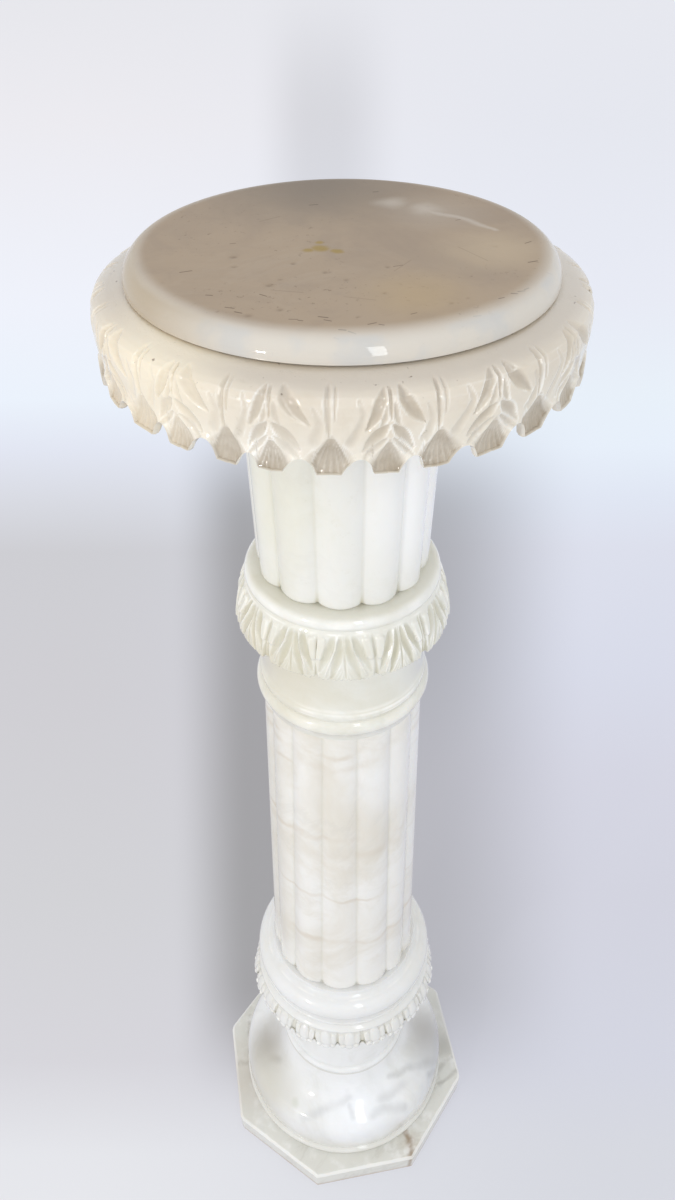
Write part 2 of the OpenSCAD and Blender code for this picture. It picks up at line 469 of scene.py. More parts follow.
@dataclass
class LeafCapital(Stone):
    """Ring of hanging leaves between stalks, over scalloped tips, with a plain band."""

    leaves: int = 15
    turn: float = -91.2
    pitch: float = 58.6
    lip: int = 14
    keen: float = 0.12
    widest: float = 139.8
    arches: Point = (9.4, 6.3)
    arch_rise: float = 9.2
    leaf_crown: Point = (51.0, 46.5)
    fans: Point = (-2.3, -2.1)
    warp: tuple[Point, ...] = ()

    def leaf(self) -> list[Stroke]:
        """Gouges of one broad leaf, from its midrib outwards; the fan's gouge comes last.

        Returns:
            The strokes.
        """
        scoop, lens = Cut.SCOOP, Cut.LENS
        return [
            Stroke(((-0.4, 47), (-0.2, 39), (0, 30)), 0.5, -1.6, 2.8, lens, False),

            Stroke(((-3.6, 46), (-5.4, 39), (-7.8, 33), (-12.6, 25)), 0.9, -2.4, 3.9, lens, False),
            Stroke(((6.0, 47.5), (8.0, 40), (12.4, 34), (19.6, 27)), 0.9, -2.6, 4.6, lens, False),
            Stroke(((-17, 40), (-14.4, 33), (-17, 26), (-21, 18)), 1.2, -0.9, 3.0, scoop, False),
            Stroke(((21.5, 36), (24.6, 28), (21.5, 18)), 1.2, -0.9, 3.4, scoop, False),
            Stroke(((2.0, 38), (3.2, 31), (5.6, 25)), 0.7, -1.1, 2.6, lens),
            Stroke(((1.6, 27), (7.0, 21.5), (14.0, 13.5)), 1.0, -1.9, 3.6, lens),
            Stroke(((2.2, 19.5), (8.0, 14.5), (14.0, 9.5)), 0.8, -1.3, 2.8, lens),
            Stroke(((0, 17.8), (0, -2)), 2.0, -1.7, 10.0, Cut.GOUGE, False),
        ]

    def stalk(self) -> list[Stroke]:
        """Gouges of one stalk and the fan that it spreads into, which comes last.

        Returns:
            The strokes.
        """
        lens = Cut.LENS
        return [
            Stroke(((-1.7, 51), (-2.0, 38), (-1.0, 21)), 0.7, -1.5, 2.4, lens, False),
            Stroke(((1.9, 49), (1.8, 30)), 0.5, -0.8, 2.0, lens, False),
            Stroke(((0, 20.5), (0, -2)), 2.2, -2.1, 11.0, Cut.GOUGE, False),
        ]

    def shape(self, s: Surface) -> None:
        """Cuts the scalloped edge, then carves leaves and stalks on the wall.

        Args:
            s: The surface.
        """
        step = 2 * np.pi / self.leaves
        plan, nominal = np.asarray(self.warp).T
        degrees = np.mod(np.degrees(s.theta) - FRONT + 180, 360) - 180
        degrees = degrees + np.interp(degrees, plan, nominal - plan)
        turn = np.radians(degrees + FRONT) - math.radians(self.turn)
        rng = np.random.default_rng(44)
        half_step = turn / (step / 2)
        arch_no = np.mod(np.floor(half_step), 2 * self.leaves).astype(int)
        wide, tall, shift, lean = rng.uniform(-1, 1, (4, 2 * self.leaves))
        across = (half_step - np.floor(half_step) - 0.5) * self.pitch / 2 + 0.9 * shift[arch_no]
        half = np.where(across < 0, *self.arches) + 0.8 * wide[arch_no]
        arch = np.clip(1 - (across / half) ** 2, 0, 1) ** np.where(across < 0, 0.95, 0.5)
        lift = (self.arch_rise + 1.8 * tall[arch_no]) * arch
        lift = lift + 0.8 + 0.8 * lean[arch_no] * np.sin(across / 4.0)
        weight = np.clip((972 - s.height) / 34.0, 0, 1)
        inner = (s.out_r < -0.2) & (s.row > 0)
        weight = np.where(inner, np.clip((950 - s.height) / 12.0, 0, 1), weight)
        outer = (s.radius > 118) & (s.height < 978)
        wall = (s.out_z > -0.35) * smooth(121.0, 126.0, s.radius) * (s.row > 8)
        s.height = s.height + np.where(outer, weight * lift, 0)
        start = s.run[s.row == self.lip][0]
        z = (s.run - start) + np.where(outer, weight * lift, 0)
        number = np.rint(turn / step)
        x = (turn / step - number) * self.pitch
        lx, lz, gain = Handwork(self.leaves, 3).apply(number, x, z)
        ridge, deep = carve(self.leaf(), lx, lz)
        _, fine = carve(flutes((0, 16.5), -1.0, 12.5, 6, 1.0), lx, lz)
        between = np.floor(turn / step)
        x = (turn / step - between - 0.5) * self.pitch
        sx, sz, more = Handwork(self.leaves, 8, 0.5, 0.03).apply(between, x, z)
        _, stalk = carve(self.stalk(), sx, sz)
        _, thin = carve(flutes((0, 19.5), -1.0, 13.5, 6, 1.1), sx, sz)
        depth = np.maximum(deep * gain, stalk * more) + np.maximum(fine, thin)
        crown = smooth(*self.leaf_crown, z)
        low = smooth(9.0, 0.0, z)
        rough = waver(s.theta, s.height * 6, 9, 0.07)
        s.push(wall * (ridge - crown * depth * (1 - 0.35 * low) + rough - 0.15))
        s.radius = np.minimum(s.radius, self.widest)
        # The hollow mask darkens the gouges and the fan shells: dirt and painted shade.
        fan = np.maximum(self.leaf()[-1].relief(lx, lz) / self.fans[0],
                         self.stalk()[-1].relief(sx, sz) / self.fans[1])
        fan = smooth(0.0, 0.8, fan) * (0.78 + 0.22 * np.maximum(fine, thin))
        s.hollow = wall * crown * np.clip(0.22 * depth + fan, 0, 1)


def valleys(first: float, count: int, errors: dict[int, float], seed: int) -> tuple[float, ...]:
    """Angles of the valleys round a drum.

    Args:
        first: Angle of valley 0, in degrees.
        count: Number of valleys.
        errors: How far chosen valleys stray from even spacing, in degrees.
        seed: Seed of the small strays of the others.

    Returns:
        One angle for each valley, in degrees.
    """
    rng = np.random.default_rng(seed)
    strays = rng.uniform(-1.2, 1.2, count)
    return tuple(
        first + 360.0 * k / count + errors.get(k, float(strays[k])) for k in range(count)
    )


@dataclass
class LeafCollar(Stone):
    """Ring of overhanging leaves with toothed edges, over a smooth hollow neck."""

    leaves: int = 12
    turn: float = 21.6
    tip: float = 736.0
    pitch: float = 40.3
    keen: float = 0.06
    arch: Point = (4.2, 1.9)
    teeth: int = 13
    leaf_crown: Point = (38.5, 34.5)

    def leaf(self) -> list[Stroke]:
        """Gouges of half a leaf, its smooth side petal and the dart beside it.

        Returns:
            The strokes.
        """
        scoop, lens, rib = Cut.SCOOP, Cut.LENS, Cut.RIB
        return [
            Stroke(((-0.2, 36), (0.1, 20), (0, 3)), 0.6, -1.1, 1.8, lens, False),
            Stroke(((1.8, 35), (3.0, 24), (6.5, 13), (9.6, 2)), 0.9, -1.8, 3.8, lens),
            Stroke(((6.4, 37), (9.0, 27), (13.6, 17), (16.8, 8)), 0.9, -1.7, 3.6, lens),
            Stroke(((20.15, 37), (20.15, 28), (20.15, 17)), 1.2, -1.3, 1.3, scoop),
            Stroke(((20.15, 19), (20.15, -1)), 0.9, -2.2, 3.2),
            Stroke(((15.4, 30), (16.6, 20)), 3.4, 1.6, 0.9, rib),
            Stroke(((4.4, 34), (6.0, 25), (10.5, 14), (13.4, 5)), 0.9, 1.0, 0.8, rib),
        ]

    def shape(self, s: Surface) -> None:
        """Cuts the toothed edge and carves the leaves.

        Args:
            s: The surface.
        """
        step = 2 * np.pi / self.leaves
        stray = np.radians(waver(s.theta, 0 * s.height, 21, 0.8))
        turn = s.theta - math.radians(self.turn) + stray
        number = np.rint(turn / step)
        x = (turn / step - number) * self.pitch
        gap = self.pitch / 2 - np.abs(x)
        half, rise = self.arch
        arch = np.sqrt(np.clip(1 - (gap / half) ** 2, 0, 1))
        teeth = 0.5 - 0.5 * np.cos(x / self.pitch * 2 * np.pi * self.teeth)
        lift = rise * arch + 0.8 * teeth + waver(s.theta, 0 * s.height, 22, 0.35)
        leafy = (s.height > 734) & (s.height < 776) & (s.radius > 64)
        weight = np.clip((762 - s.height) / 25.0, 0, 1)
        wall = smooth(68.4, 70.5, s.radius) * (s.out_r > 0.1)
        s.height = s.height + np.where(leafy, weight * lift, 0)
        z = s.height - self.tip
        lx, lz, gain = Handwork(self.leaves, 13, 1.0, 0.12, 0.3).apply(number, x, z)
        ridge, deep = carve(self.leaf(), lx, lz)
        _, fine = carve(flutes((0, 13), 0.0, 14.0, 8, 0.4), lx, lz)
        crown = smooth(*self.leaf_crown, z)
        depth = deep * gain + fine * smooth(15.0, 9.0, z)
        s.push(np.minimum(wall * (crown * (ridge - depth * 0.9) - 0.2), 1.2))
        # The hollow mask darkens the gouges and the stone under the leaf tips: dirt and painted
        # shade.
        s.hollow = wall * crown * np.clip(0.5 * depth + 0.2 * smooth(16.0, 0.0, z), 0, 1)


@dataclass
class FootCollar(Stone):
    """Round cushion and fillets over a fringe of knobbly hanging lobes."""

    lobes: int = 24
    turn: float = 8.6
    tip: float = 234.0
    pitch: float = 24.6
    keen: float = 0.25
    widest: float = 94.45
    arch: Point = (4.9, 5.4)
    lobe_crown: Point = (27.0, 23.0)

    def lobe(self) -> list[Stroke]:
        """Strokes of one lobe and of the dart between it and the next.

        Returns:
            The strokes.
        """
        rib = Cut.RIB
        half = self.pitch / 2
        return [
            Stroke(((0, 20), (0, 11)), 5.0, 2.2, 1.1, rib, False),
            Stroke(((0, 5.0), (0.1, 4.4)), 4.3, 2.9, 1.0, rib, False),
            Stroke(((7.0, 6.2), (7.1, 5.6)), 3.2, 2.5, 1.0, rib),
            Stroke(((8.2, 19), (7.8, 12.0)), 2.8, 1.3, 1.1, rib),
            Stroke(((half, 24), (half, 14), (half, 7)), 1.3, -1.6, 1.9),
            Stroke(((half, 3.4), (half, 3.0)), 2.3, 1.8, 1.0, rib),
        ]

    def shape(self, s: Surface) -> None:
        """Cuts the arches between the lobes and carves the lobes.

        Args:
            s: The surface.
        """
        step = 2 * np.pi / self.lobes
        stray = np.radians(waver(s.theta, 0 * s.height, 31, 0.7))
        turn = s.theta - math.radians(self.turn) + stray
        number = np.rint(turn / step)
        x = (turn / step - number) * self.pitch
        gap = self.pitch / 2 - np.abs(x)
        half, rise = self.arch
        lift = rise * np.sqrt(np.clip(1 - (gap / half) ** 2, 0, 1)) + 1.8 * np.sin(x * 0.40) ** 2
        fringe = (s.height < 262) & (s.radius > 86.5)
        weight = np.clip((252 - s.height) / 18.0, 0, 1)
        wall = smooth(86.5, 89.0, s.radius) * (s.out_r > 0.1)
        s.height = s.height + np.where(fringe, weight * lift, 0)
        z = s.height - self.tip
        lx, lz, gain = Handwork(self.lobes, 17, 1.5, 0.11, 0.40).apply(number, x, z)
        ridge, deep = carve(self.lobe(), lx, lz)
        crown = smooth(*self.lobe_crown, z)
        s.push(np.minimum(wall * crown * (ridge * gain - deep - 2.3), 0.7))
        s.radius = np.minimum(s.radius, self.widest)
        # The hollow mask darkens the darts and the low ground between lobes: dirt and painted shade.
        s.hollow = wall * crown * np.clip(0.24 * deep + 0.14 * (2.0 - ridge), 0, 1)


@dataclass
class TopDisc(Stone):
    """Round disc with a rounded edge and a worn, lightly pitted face."""

    pits: int = 16

    def shape(self, s: Surface) -> None:
        """Wears the face a little hollow and nicks it with pits and chips.

        Args:
            s: The surface.
        """
        face = smooth(998.5, 999.9, s.height) * smooth(0.6, 0.95, s.out_z)
        rng = np.random.default_rng(5)
        x, y = s.radius * np.cos(s.theta), s.radius * np.sin(s.theta)
        worn = -0.25 - 0.18 * np.sin(x / 23 + 1) * np.cos(y / 31)
        # Each pit is dented and darkened through the hollow mask: dirt and painted shade.
        for _ in range(self.pits):
            a = math.radians(rng.normal(-85, 42))
            r = rng.uniform(40, 106)
            size = rng.uniform(0.7, 1.9)
            q = np.hypot(x - r * math.cos(a), y - r * math.sin(a)) / size
            worn = worn - 0.5 * np.exp(-q * q)
            s.hollow = np.maximum(s.hollow, np.exp(-q * q) * 0.9)
        s.height = s.height + face * worn
        s.hollow = s.hollow * face


@dataclass
class DomedFoot(Stone):
    """Low turned dome with a bead round its foot, under a ring and a waisted neck."""

    def shape(self, s: Surface) -> None:
        """Leaves the faint unevenness of hand turning."""
        wall = smooth(30, 60, s.height) * (s.out_r > 0.2)
        s.push(wall * (waver(s.theta, s.height, 12, 0.12) - 0.3))


@dataclass
class Plinth:
    """Octagonal slab with a worked top edge and worn corners, in millimetres."""

    flats: float = 261.0
    height: float = 24.0
    chamfer: float = 3.5
    name: str = "plinth_slab"
    node: str = "plinth"
    slot: str = "plinth_stone"
    wear: float = 5.0
    arris: float = 0.7
    worn: tuple[float, ...] = (4.0, 5.0, 4.0, 5.0, 5.0, 1.0, 1.2, 5.0)

    def build(self, material: bpy.types.Material) -> bpy.types.Object:
        """Makes the slab from an eight-sided prism.

        Args:
            material: The stone's finish.

        Returns:
            The finished object.
        """
        bpy.ops.object.select_all(action="DESELECT")
        radius = self.flats / 2 / math.cos(math.radians(22.5)) * MM
        bpy.ops.mesh.primitive_cylinder_add(
            vertices=8, radius=radius, depth=self.height * MM,
            location=(0, 0, self.height * MM / 2), rotation=(0, 0, math.radians(22.5)),
        )
        obj = bpy.context.object
        obj.name = obj.data.name = self.name
        bpy.ops.object.transform_apply(location=True, rotation=True, scale=True)
        self._round_corners(obj)
        self._bevel_rim(obj)
        bpy.ops.object.shade_smooth_by_angle(angle=math.radians(30))
        obj.data.materials.append(material)
        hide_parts(self.node)
        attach(obj, "root")
        return obj

    def _round_corners(self, obj: bpy.types.Object) -> None:
        """Rounds each upright edge by its own wear.

        Args:
            obj: The slab.
        """
        layer = obj.data.attributes.new("bevel_weight_edge", "FLOAT", "EDGE")
        for edge in obj.data.edges:
            a, b = (obj.data.vertices[i].co for i in edge.vertices)
            if abs(a.z - b.z) > 0.001:
                turn = math.degrees(math.atan2(a.y, a.x)) % 360
                layer.data[edge.index].value = self.worn[int(turn // 45)] / self.wear
        bevel = obj.modifiers.new("corners", "BEVEL")
        bevel.limit_method, bevel.width, bevel.segments = "WEIGHT", self.wear * MM, 5
        bpy.ops.object.modifier_apply(modifier=bevel.name)
        obj.data.attributes.remove(obj.data.attributes["bevel_weight_edge"])

    def _bevel_rim(self, obj: bpy.types.Object) -> None:
        """Cuts the worked edge round the top and eases its arrises.

        Args:
            obj: The slab.
        """
        bpy.ops.object.mode_set(mode="EDIT")
        bpy.ops.mesh.select_all(action="DESELECT")
        bpy.ops.object.mode_set(mode="OBJECT")
        top = self.height * MM - 1e-5
        for edge in obj.data.edges:
            edge.select = all(obj.data.vertices[i].co.z > top for i in edge.vertices)
        bpy.ops.object.mode_set(mode="EDIT")
        bpy.ops.mesh.select_mode(type="EDGE")
        bpy.ops.mesh.bevel(offset=self.chamfer * MM, segments=1, clamp_overlap=True)
        bpy.ops.mesh.select_all(action="SELECT")
        bpy.ops.mesh.normals_make_consistent(inside=False)
        bpy.ops.object.mode_set(mode="OBJECT")
        ease = obj.modifiers.new("arrises", "BEVEL")
        ease.limit_method, ease.angle_limit = "ANGLE", math.radians(25)
        ease.width, ease.segments = self.arris * MM, 2
        bpy.ops.object.modifier_apply(modifier=ease.name)
        bpy.ops.object.mode_set(mode="EDIT")
        bpy.ops.mesh.select_all(action="SELECT")
        bpy.ops.mesh.remove_doubles(threshold=0.01 * MM)
        bpy.ops.object.mode_set(mode="OBJECT")


# ------------------------------------------------------------------ finishes
def srgb(r: float, g: float, b: float) -> tuple[float, float, float, float]:
    """Linear colour from 0-255 screen values.

    Args:
        r: Red.
        g: Green.
        b: Blue.

    Returns:
        Linear red, green and blue, with full alpha.
    """
    parts = [v / 255.0 for v in (r, g, b)]
    linear = [v / 12.92 if v <= 0.04045 else ((v + 0.055) / 1.055) ** 2.4 for v in parts]
    return (*linear, 1.0)


class Wiring:
    """Small helper that adds nodes to a tree and joins them up."""

    def __init__(self, tree: bpy.types.NodeTree) -> None:
        """Keeps the tree, and the frayed places and patches made so far."""
        self.tree = tree
        self.made: dict[object, Socket] = {}

    def add(self, kind: str, values: dict[str, object] | None = None,
            **settings: object) -> bpy.types.Node:
        """Adds a node.

        Args:
            kind: Its type.
            values: Input values or links, by socket name or number.
            settings: Properties of the node.

        Returns:
            The node.
        """
        node = self.tree.nodes.new(kind)
        for key, value in settings.items():
            setattr(node, key, value)
        for key, value in (values or {}).items():
            socket = node.inputs[int(key) if key.isdigit() else key]
            if isinstance(value, Socket):
                self.tree.links.new(value, socket)
            else:
                socket.default_value = value
        return node

    def math(self, operation: str, a: object, b: object = 0.0, clamp: bool = False) -> Socket:
        """Arithmetic of two values."""
        values = {"0": a, "1": b}
        return self.add("ShaderNodeMath", values, operation=operation, use_clamp=clamp).outputs[0]

    def vector(self, operation: str, a: object, b: object = (0.0, 0.0, 0.0)) -> Socket:
        """Arithmetic of two vectors; a length or a dot product comes out as a value."""
        node = self.add("ShaderNodeVectorMath", {"0": a, "1": b}, operation=operation)
        return node.outputs["Value" if operation in ("LENGTH", "DOT_PRODUCT") else "Vector"]

    def mix(self, share: object, a: object, b: object, blend: str = "MIX") -> Socket:
        """Mix of two colours."""
        values = {"0": share, "6": a, "7": b}
        return self.add("ShaderNodeMix", values, data_type="RGBA", blend_type=blend).outputs[2]

    def noise(self, vector: object, scale: float, detail: float = 4.0, rough: float = 0.55,
              twist: float = 0.0) -> Socket:
        """Cloudy noise value."""
        values = {"Vector": vector, "Scale": scale, "Detail": detail, "Roughness": rough,
                  "Distortion": twist}
        return self.add("ShaderNodeTexNoise", values).outputs["Fac"]

    def ramp(self, value: object, low: float, high: float) -> Socket:
        """Soft step of a value from low to high."""
        values = {"Value": value, "From Min": low, "From Max": high}
        return self.add("ShaderNodeMapRange", values, interpolation_type="SMOOTHSTEP").outputs[0]

    def axis(self, vector: object, name: str) -> Socket:
        """One coordinate of a place."""
        return self.add("ShaderNodeSeparateXYZ", {"0": vector}).outputs[name]

    def level(self, place: Socket) -> Socket:
        """A place with its height taken out; each place is done once.

        Args:
            place: The place.

        Returns:
            The place at height zero.
        """
        if place not in self.made:
            self.made[place] = self.vector("MULTIPLY", place, (1.0, 1.0, 0.0))
        return self.made[place]

    def reach(self, vector: object) -> Socket:
        """Distance from the column's middle line."""
        return self.vector("LENGTH", self.level(vector))

    def strongest(self, *values: object) -> Socket:
        """The largest of several values."""
        return reduce(lambda a, b: self.math("MAXIMUM", a, b), values)

    def times(self, *values: object) -> Socket:
        """The product of several values."""
        return reduce(lambda a, b: self.math("MULTIPLY", a, b), values)

    def frayed(self, coords: Socket, scale: float, amount: float) -> Socket:
        """Places nudged about by noise, for uneven edges; each kind of nudge is made once.

        Args:
            coords: The stone's own places.
            scale: Fineness of the noise.
            amount: Largest nudge, in millimetres.

        Returns:
            The nudged places.
        """
        key = (scale, amount)
        if key not in self.made:
            values = {"Vector": coords, "Scale": scale, "Detail": 4.0}
            noise = self.add("ShaderNodeTexNoise", values).outputs["Color"]
            step = 2.0 * amount * MM
            nudge = self.vector(
                "MULTIPLY", self.vector("SUBTRACT", noise, (0.5, 0.5, 0.5)), (step, step, step))
            self.made[key] = self.vector("ADD", coords, nudge)
        return self.made[key]

    def patches(self, coords: Socket, *grain: float) -> Socket:
        """Patches of noise; each kind is made once.

        Args:
            coords: The stone's own places.
            grain: The noise's scale, detail and roughness, and its low and high limits.

        Returns:
            0 below the low limit and 1 above the high one.
        """
        if grain not in self.made:
            self.made[grain] = self.ramp(self.noise(coords, *grain[:3]), *grain[3:])
        return self.made[grain]

    def tint(self, color: object, mask: object, share: float, tone: Triple) -> Socket:
        """Mixes a tone into a colour where a mask allows it."""
        return self.mix(self.math("MULTIPLY", mask, share, True), color, srgb(*tone))

    def bands(self, value: object, stops: Sequence[tuple[float, Triple]]) -> Socket:
        """Colour that changes along a value.

        Args:
            value: The value.
            stops: Places along it, each with its tone.

        Returns:
            The colour.
        """
        node = self.add("ShaderNodeValToRGB", {"Fac": value})
        elements = node.color_ramp.elements
        while len(elements) < len(stops):
            elements.new(0.5)
        for element, (at, _) in zip(elements, stops):
            element.position = at
        for element, (_, tone) in zip(elements, stops):
            element.color = srgb(*tone)
        return node.outputs["Color"]


class Along(Enum):
    """What an edge is measured along: up, to the side, or out from the middle line."""

    UP = "Z"
    SIDE = "X"
    OUT = "out"


@dataclass(frozen=True)
class Shape:
    """Part of a mark, in millimetres, with its own fray where that isn't the mark's."""

    fray: Point | None = field(default=None, kw_only=True)


@dataclass(frozen=True)
class Blot(Shape):
    """Round patch, full within the soft share of its size and gone beyond it."""

    centre: Triple
    size: float
    soft: float = 0.0

    def mask(self, w: Wiring, place: Socket) -> Socket:
        """1 in the middle, 0 beyond the size."""
        off = w.vector("SUBTRACT", place, tuple(v * MM for v in self.centre))
        return w.ramp(w.vector("LENGTH", off), self.size * MM, self.size * MM * self.soft)


@dataclass(frozen=True)
class Streak(Shape):
    """Line that fades over its half width."""

    start: Triple
    end: Triple
    width: float

    def mask(self, w: Wiring, place: Socket) -> Socket:
        """How near a place is to the line.

        Args:
            w: The material's wiring.
            place: The places.

        Returns:
            1 on the line, 0 from the half width outwards.
        """
        start = Vector(self.start) * MM
        way = Vector(self.end) * MM - start
        to = w.vector("SUBTRACT", place, tuple(start))
        walked = w.vector("DOT_PRODUCT", to, tuple(way / way.length_squared))
        share = w.math("ADD", walked, 0.0, True)
        nearest = w.add("ShaderNodeVectorMath", {"0": tuple(way), "Scale": share}, operation="SCALE")
        off = w.vector("SUBTRACT", to, nearest.outputs["Vector"])
        return w.ramp(w.vector("LENGTH", off), self.width * MM, 0.0)


@dataclass(frozen=True)
class Mark:
    """A tone laid on a stone in shapes, within edges and in patches, in millimetres.

    A fray is the fineness and the size of the unevenness of the shapes or of the edges.
    Each edge is measured along a direction, with where the tone starts and where it is
    full. Flat shapes are the same at every height.
    """

    tone: Triple
    share: float
    shapes: tuple[Shape, ...] = ()
    fray: Point | None = None
    flat: bool = False
    edges: tuple[tuple[Along, float, float], ...] = ()
    edge_fray: Point | None = None
    patches: tuple[float, ...] = ()

    def lay(self, w: Wiring, coords: Socket, color: Socket) -> Socket:
        """Lays the tone over a colour.

        Args:
            w: The material's wiring.
            coords: Places on the stone.
            color: The colour so far.

        Returns:
            The marked colour.
        """
        masks = []
        for shape in self.shapes:
            fray = shape.fray or self.fray
            place = w.frayed(coords, *fray) if fray else coords
            masks.append(shape.mask(w, w.level(place) if self.flat else place))
        limits = [w.strongest(*masks)] if masks else []
        place = w.frayed(coords, *self.edge_fray) if self.edge_fray else coords
        for along, start, full in self.edges:
            at = w.reach(place) if along is Along.OUT else w.axis(place, along.value)
            limits.append(w.ramp(at, start * MM, full * MM))
        if self.patches:
            limits.append(w.patches(coords, *self.patches))
        return w.tint(color, w.times(*limits), self.share, self.tone)


TONES = ("Pale", "Cloud", "Vein", "Dirt_and_shade")
AMOUNTS = ("Clouds", "Veins", "Flecks", "Grime_and_shade", "Chatter")
# Masks of dirt and painted shade in hollows, and of painted highlights on ridges.
CARVED = ("Hollow", "Ridge")


def stone_group() -> bpy.types.NodeTree:
    """Shared tone of cloudy, veined, flecked alabaster, with dirt and painted shade in its hollows
    and painted highlights on its ridges.

    Returns:
        A node group with colour, roughness and height outputs.
    """
    tree = bpy.data.node_groups.new("alabaster tone", "ShaderNodeTree")
    sockets = [("Place", "INPUT", "Vector")]
    sockets += [(name, "INPUT", "Color") for name in TONES]
    sockets += [(name, "INPUT", "Float") for name in AMOUNTS + CARVED]
    sockets += [("Color", "OUTPUT", "Color"), ("Roughness", "OUTPUT", "Float"),
                ("Height", "OUTPUT", "Float")]
    for name, way, kind in sockets:
        tree.interface.new_socket(name, in_out=way, socket_type=f"NodeSocket{kind}")
    w = Wiring(tree)
    into = tree.nodes.new("NodeGroupInput").outputs
    place = into["Place"]
    cloud = w.ramp(w.noise(place, 9.0, 5.0, 0.6, 0.8), 0.42, 0.68)
    color = w.mix(w.times(cloud, into["Clouds"]), into["Pale"], into["Cloud"])
    mottle = w.ramp(w.noise(place, 32.0, 5.0, 0.65, 0.5), 0.48, 0.72)
    color = w.mix(w.times(mottle, into["Clouds"], 0.6), color, into["Cloud"])
    band = w.noise(place, 6.5, 6.0, 0.62, 1.6)
    vein = w.ramp(w.math("ABSOLUTE", w.math("SUBTRACT", band, 0.5)), 0.030, 0.0)
    broken = w.ramp(w.noise(place, 4.0), 0.45, 0.6)
    color = w.mix(w.times(vein, broken, into["Veins"]), color, into["Vein"])
    fleck = w.times(w.ramp(w.noise(place, 260.0, 3.0, 0.7), 0.60, 0.70),
                    w.ramp(w.noise(place, 22.0, 3.0), 0.42, 0.66), into["Flecks"])
    color = w.mix(fleck, color, into["Dirt_and_shade"])
    # Dirt and painted shade in the carved hollows, a little rougher there.
    hollow_dirt_and_shade = w.ramp(w.noise(place, 45.0, 5.0, 0.65), 0.25, 0.75)
    hollow_dirt_and_shade = w.math("ADD", w.times(hollow_dirt_and_shade, 0.5), 0.6)
    hollow_dirt_and_shade = w.math("MULTIPLY", w.times(into["Hollow"], into["Grime_and_shade"]), hollow_dirt_and_shade, True)
    color = w.mix(hollow_dirt_and_shade, color, into["Dirt_and_shade"])
    # Painted highlights along keen ridges, standing in for glints.
    keen = w.ramp(w.noise(place, 44.0, 3.0), 0.40, 0.62)
    color = w.mix(w.times(into["Ridge"], keen, 0.85), color, srgb(254, 252, 247))
    rough = w.math("ADD", 0.30, w.times(hollow_dirt_and_shade, 0.35))
    rough = w.math("ADD", rough, w.times(w.noise(place, 60.0), 0.14))
    height = w.math("ADD", w.times(w.noise(place, 110.0, 4.0), 0.5), w.times(fleck, -1.2))
    height = w.math("ADD", height, w.times(w.noise(place, 420.0, 2.0), into["Chatter"]))
    out = tree.nodes.new("NodeGroupOutput")
    for socket, value in (("Color", color), ("Roughness", rough), ("Height", height)):
        tree.links.new(value, out.inputs[socket])
    return tree


@dataclass(frozen=True)
class Alabaster:
    """Finish of one stone: its tones, how strongly each shows, its polish and its marks."""

    name: str
    pale: Triple
    cloud: Triple
    vein: Triple
    # Tone of the dark flecks, and of the dirt and painted shade in the hollows.
    dirt_and_shade: Triple
    clouds: float = 0.5
    veins: float = 0.3
    flecks: float = 0.15
    # How strongly the hollows darken with dirt and painted shade.
    grime_and_shade: float = 0.8
    glow: float = 0.2
    coat: float = 0.9
    shine: float = 0.35
    polished_from: float = 0.0
    density: float = 1.52
    chatter: float = 0.0
    bump: float = 0.25
    marks: tuple[Mark, ...] = ()

    def build(self, tone: bpy.types.NodeTree) -> bpy.types.Material:
        """Makes the material.

        Args:
            tone: The shared stone group.

        Returns:
            The finished material.
        """
        material = bpy.data.materials.new(self.name)
        material.use_nodes = True
        w = Wiring(material.node_tree)
        link = material.node_tree.links.new
        shader = material.node_tree.nodes["Principled BSDF"].inputs
        coords = w.add("ShaderNodeTexCoord").outputs["Object"]
        group = w.add("ShaderNodeGroup", node_tree=tone)
        link(coords, group.inputs["Place"])
        for key in TONES:
            group.inputs[key].default_value = srgb(*getattr(self, key.lower()))
        for key in AMOUNTS:
            group.inputs[key].default_value = getattr(self, key.lower())
        for key in CARVED:
            layer = w.add("ShaderNodeAttribute", attribute_name=key.lower())
            link(layer.outputs["Fac"], group.inputs[key])
        color = group.outputs["Color"]
        for mark in self.marks:
            color = mark.lay(w, coords, color)
        link(color, shader["Base Color"])
        link(group.outputs["Roughness"], shader["Roughness"])
        bump = {"Strength": self.bump, "Distance": MM, "Height": group.outputs["Height"]}
        link(w.add("ShaderNodeBump", bump).outputs[0], shader["Normal"])
        for key, value in (("IOR", self.density), ("Specular IOR Level", self.shine),
                           ("Subsurface Weight", self.glow),
                           ("Subsurface Radius", (1.0, 0.85, 0.7)),
                           ("Subsurface Scale", 0.004), ("Coat Weight", self.coat),
                           ("Coat Roughness", 0.045)):
            shader[key].default_value = value
        if self.polished_from > 0:
            rim = w.ramp(w.reach(coords), self.polished_from, self.polished_from + 0.004)
            link(w.math("ADD", 0.06, w.times(rim, self.coat)), shader["Coat Weight"])
        return material


# --------------------------------------------------------------------- marks
UP, SIDE, OUT = Along.UP, Along.SIDE, Along.OUT

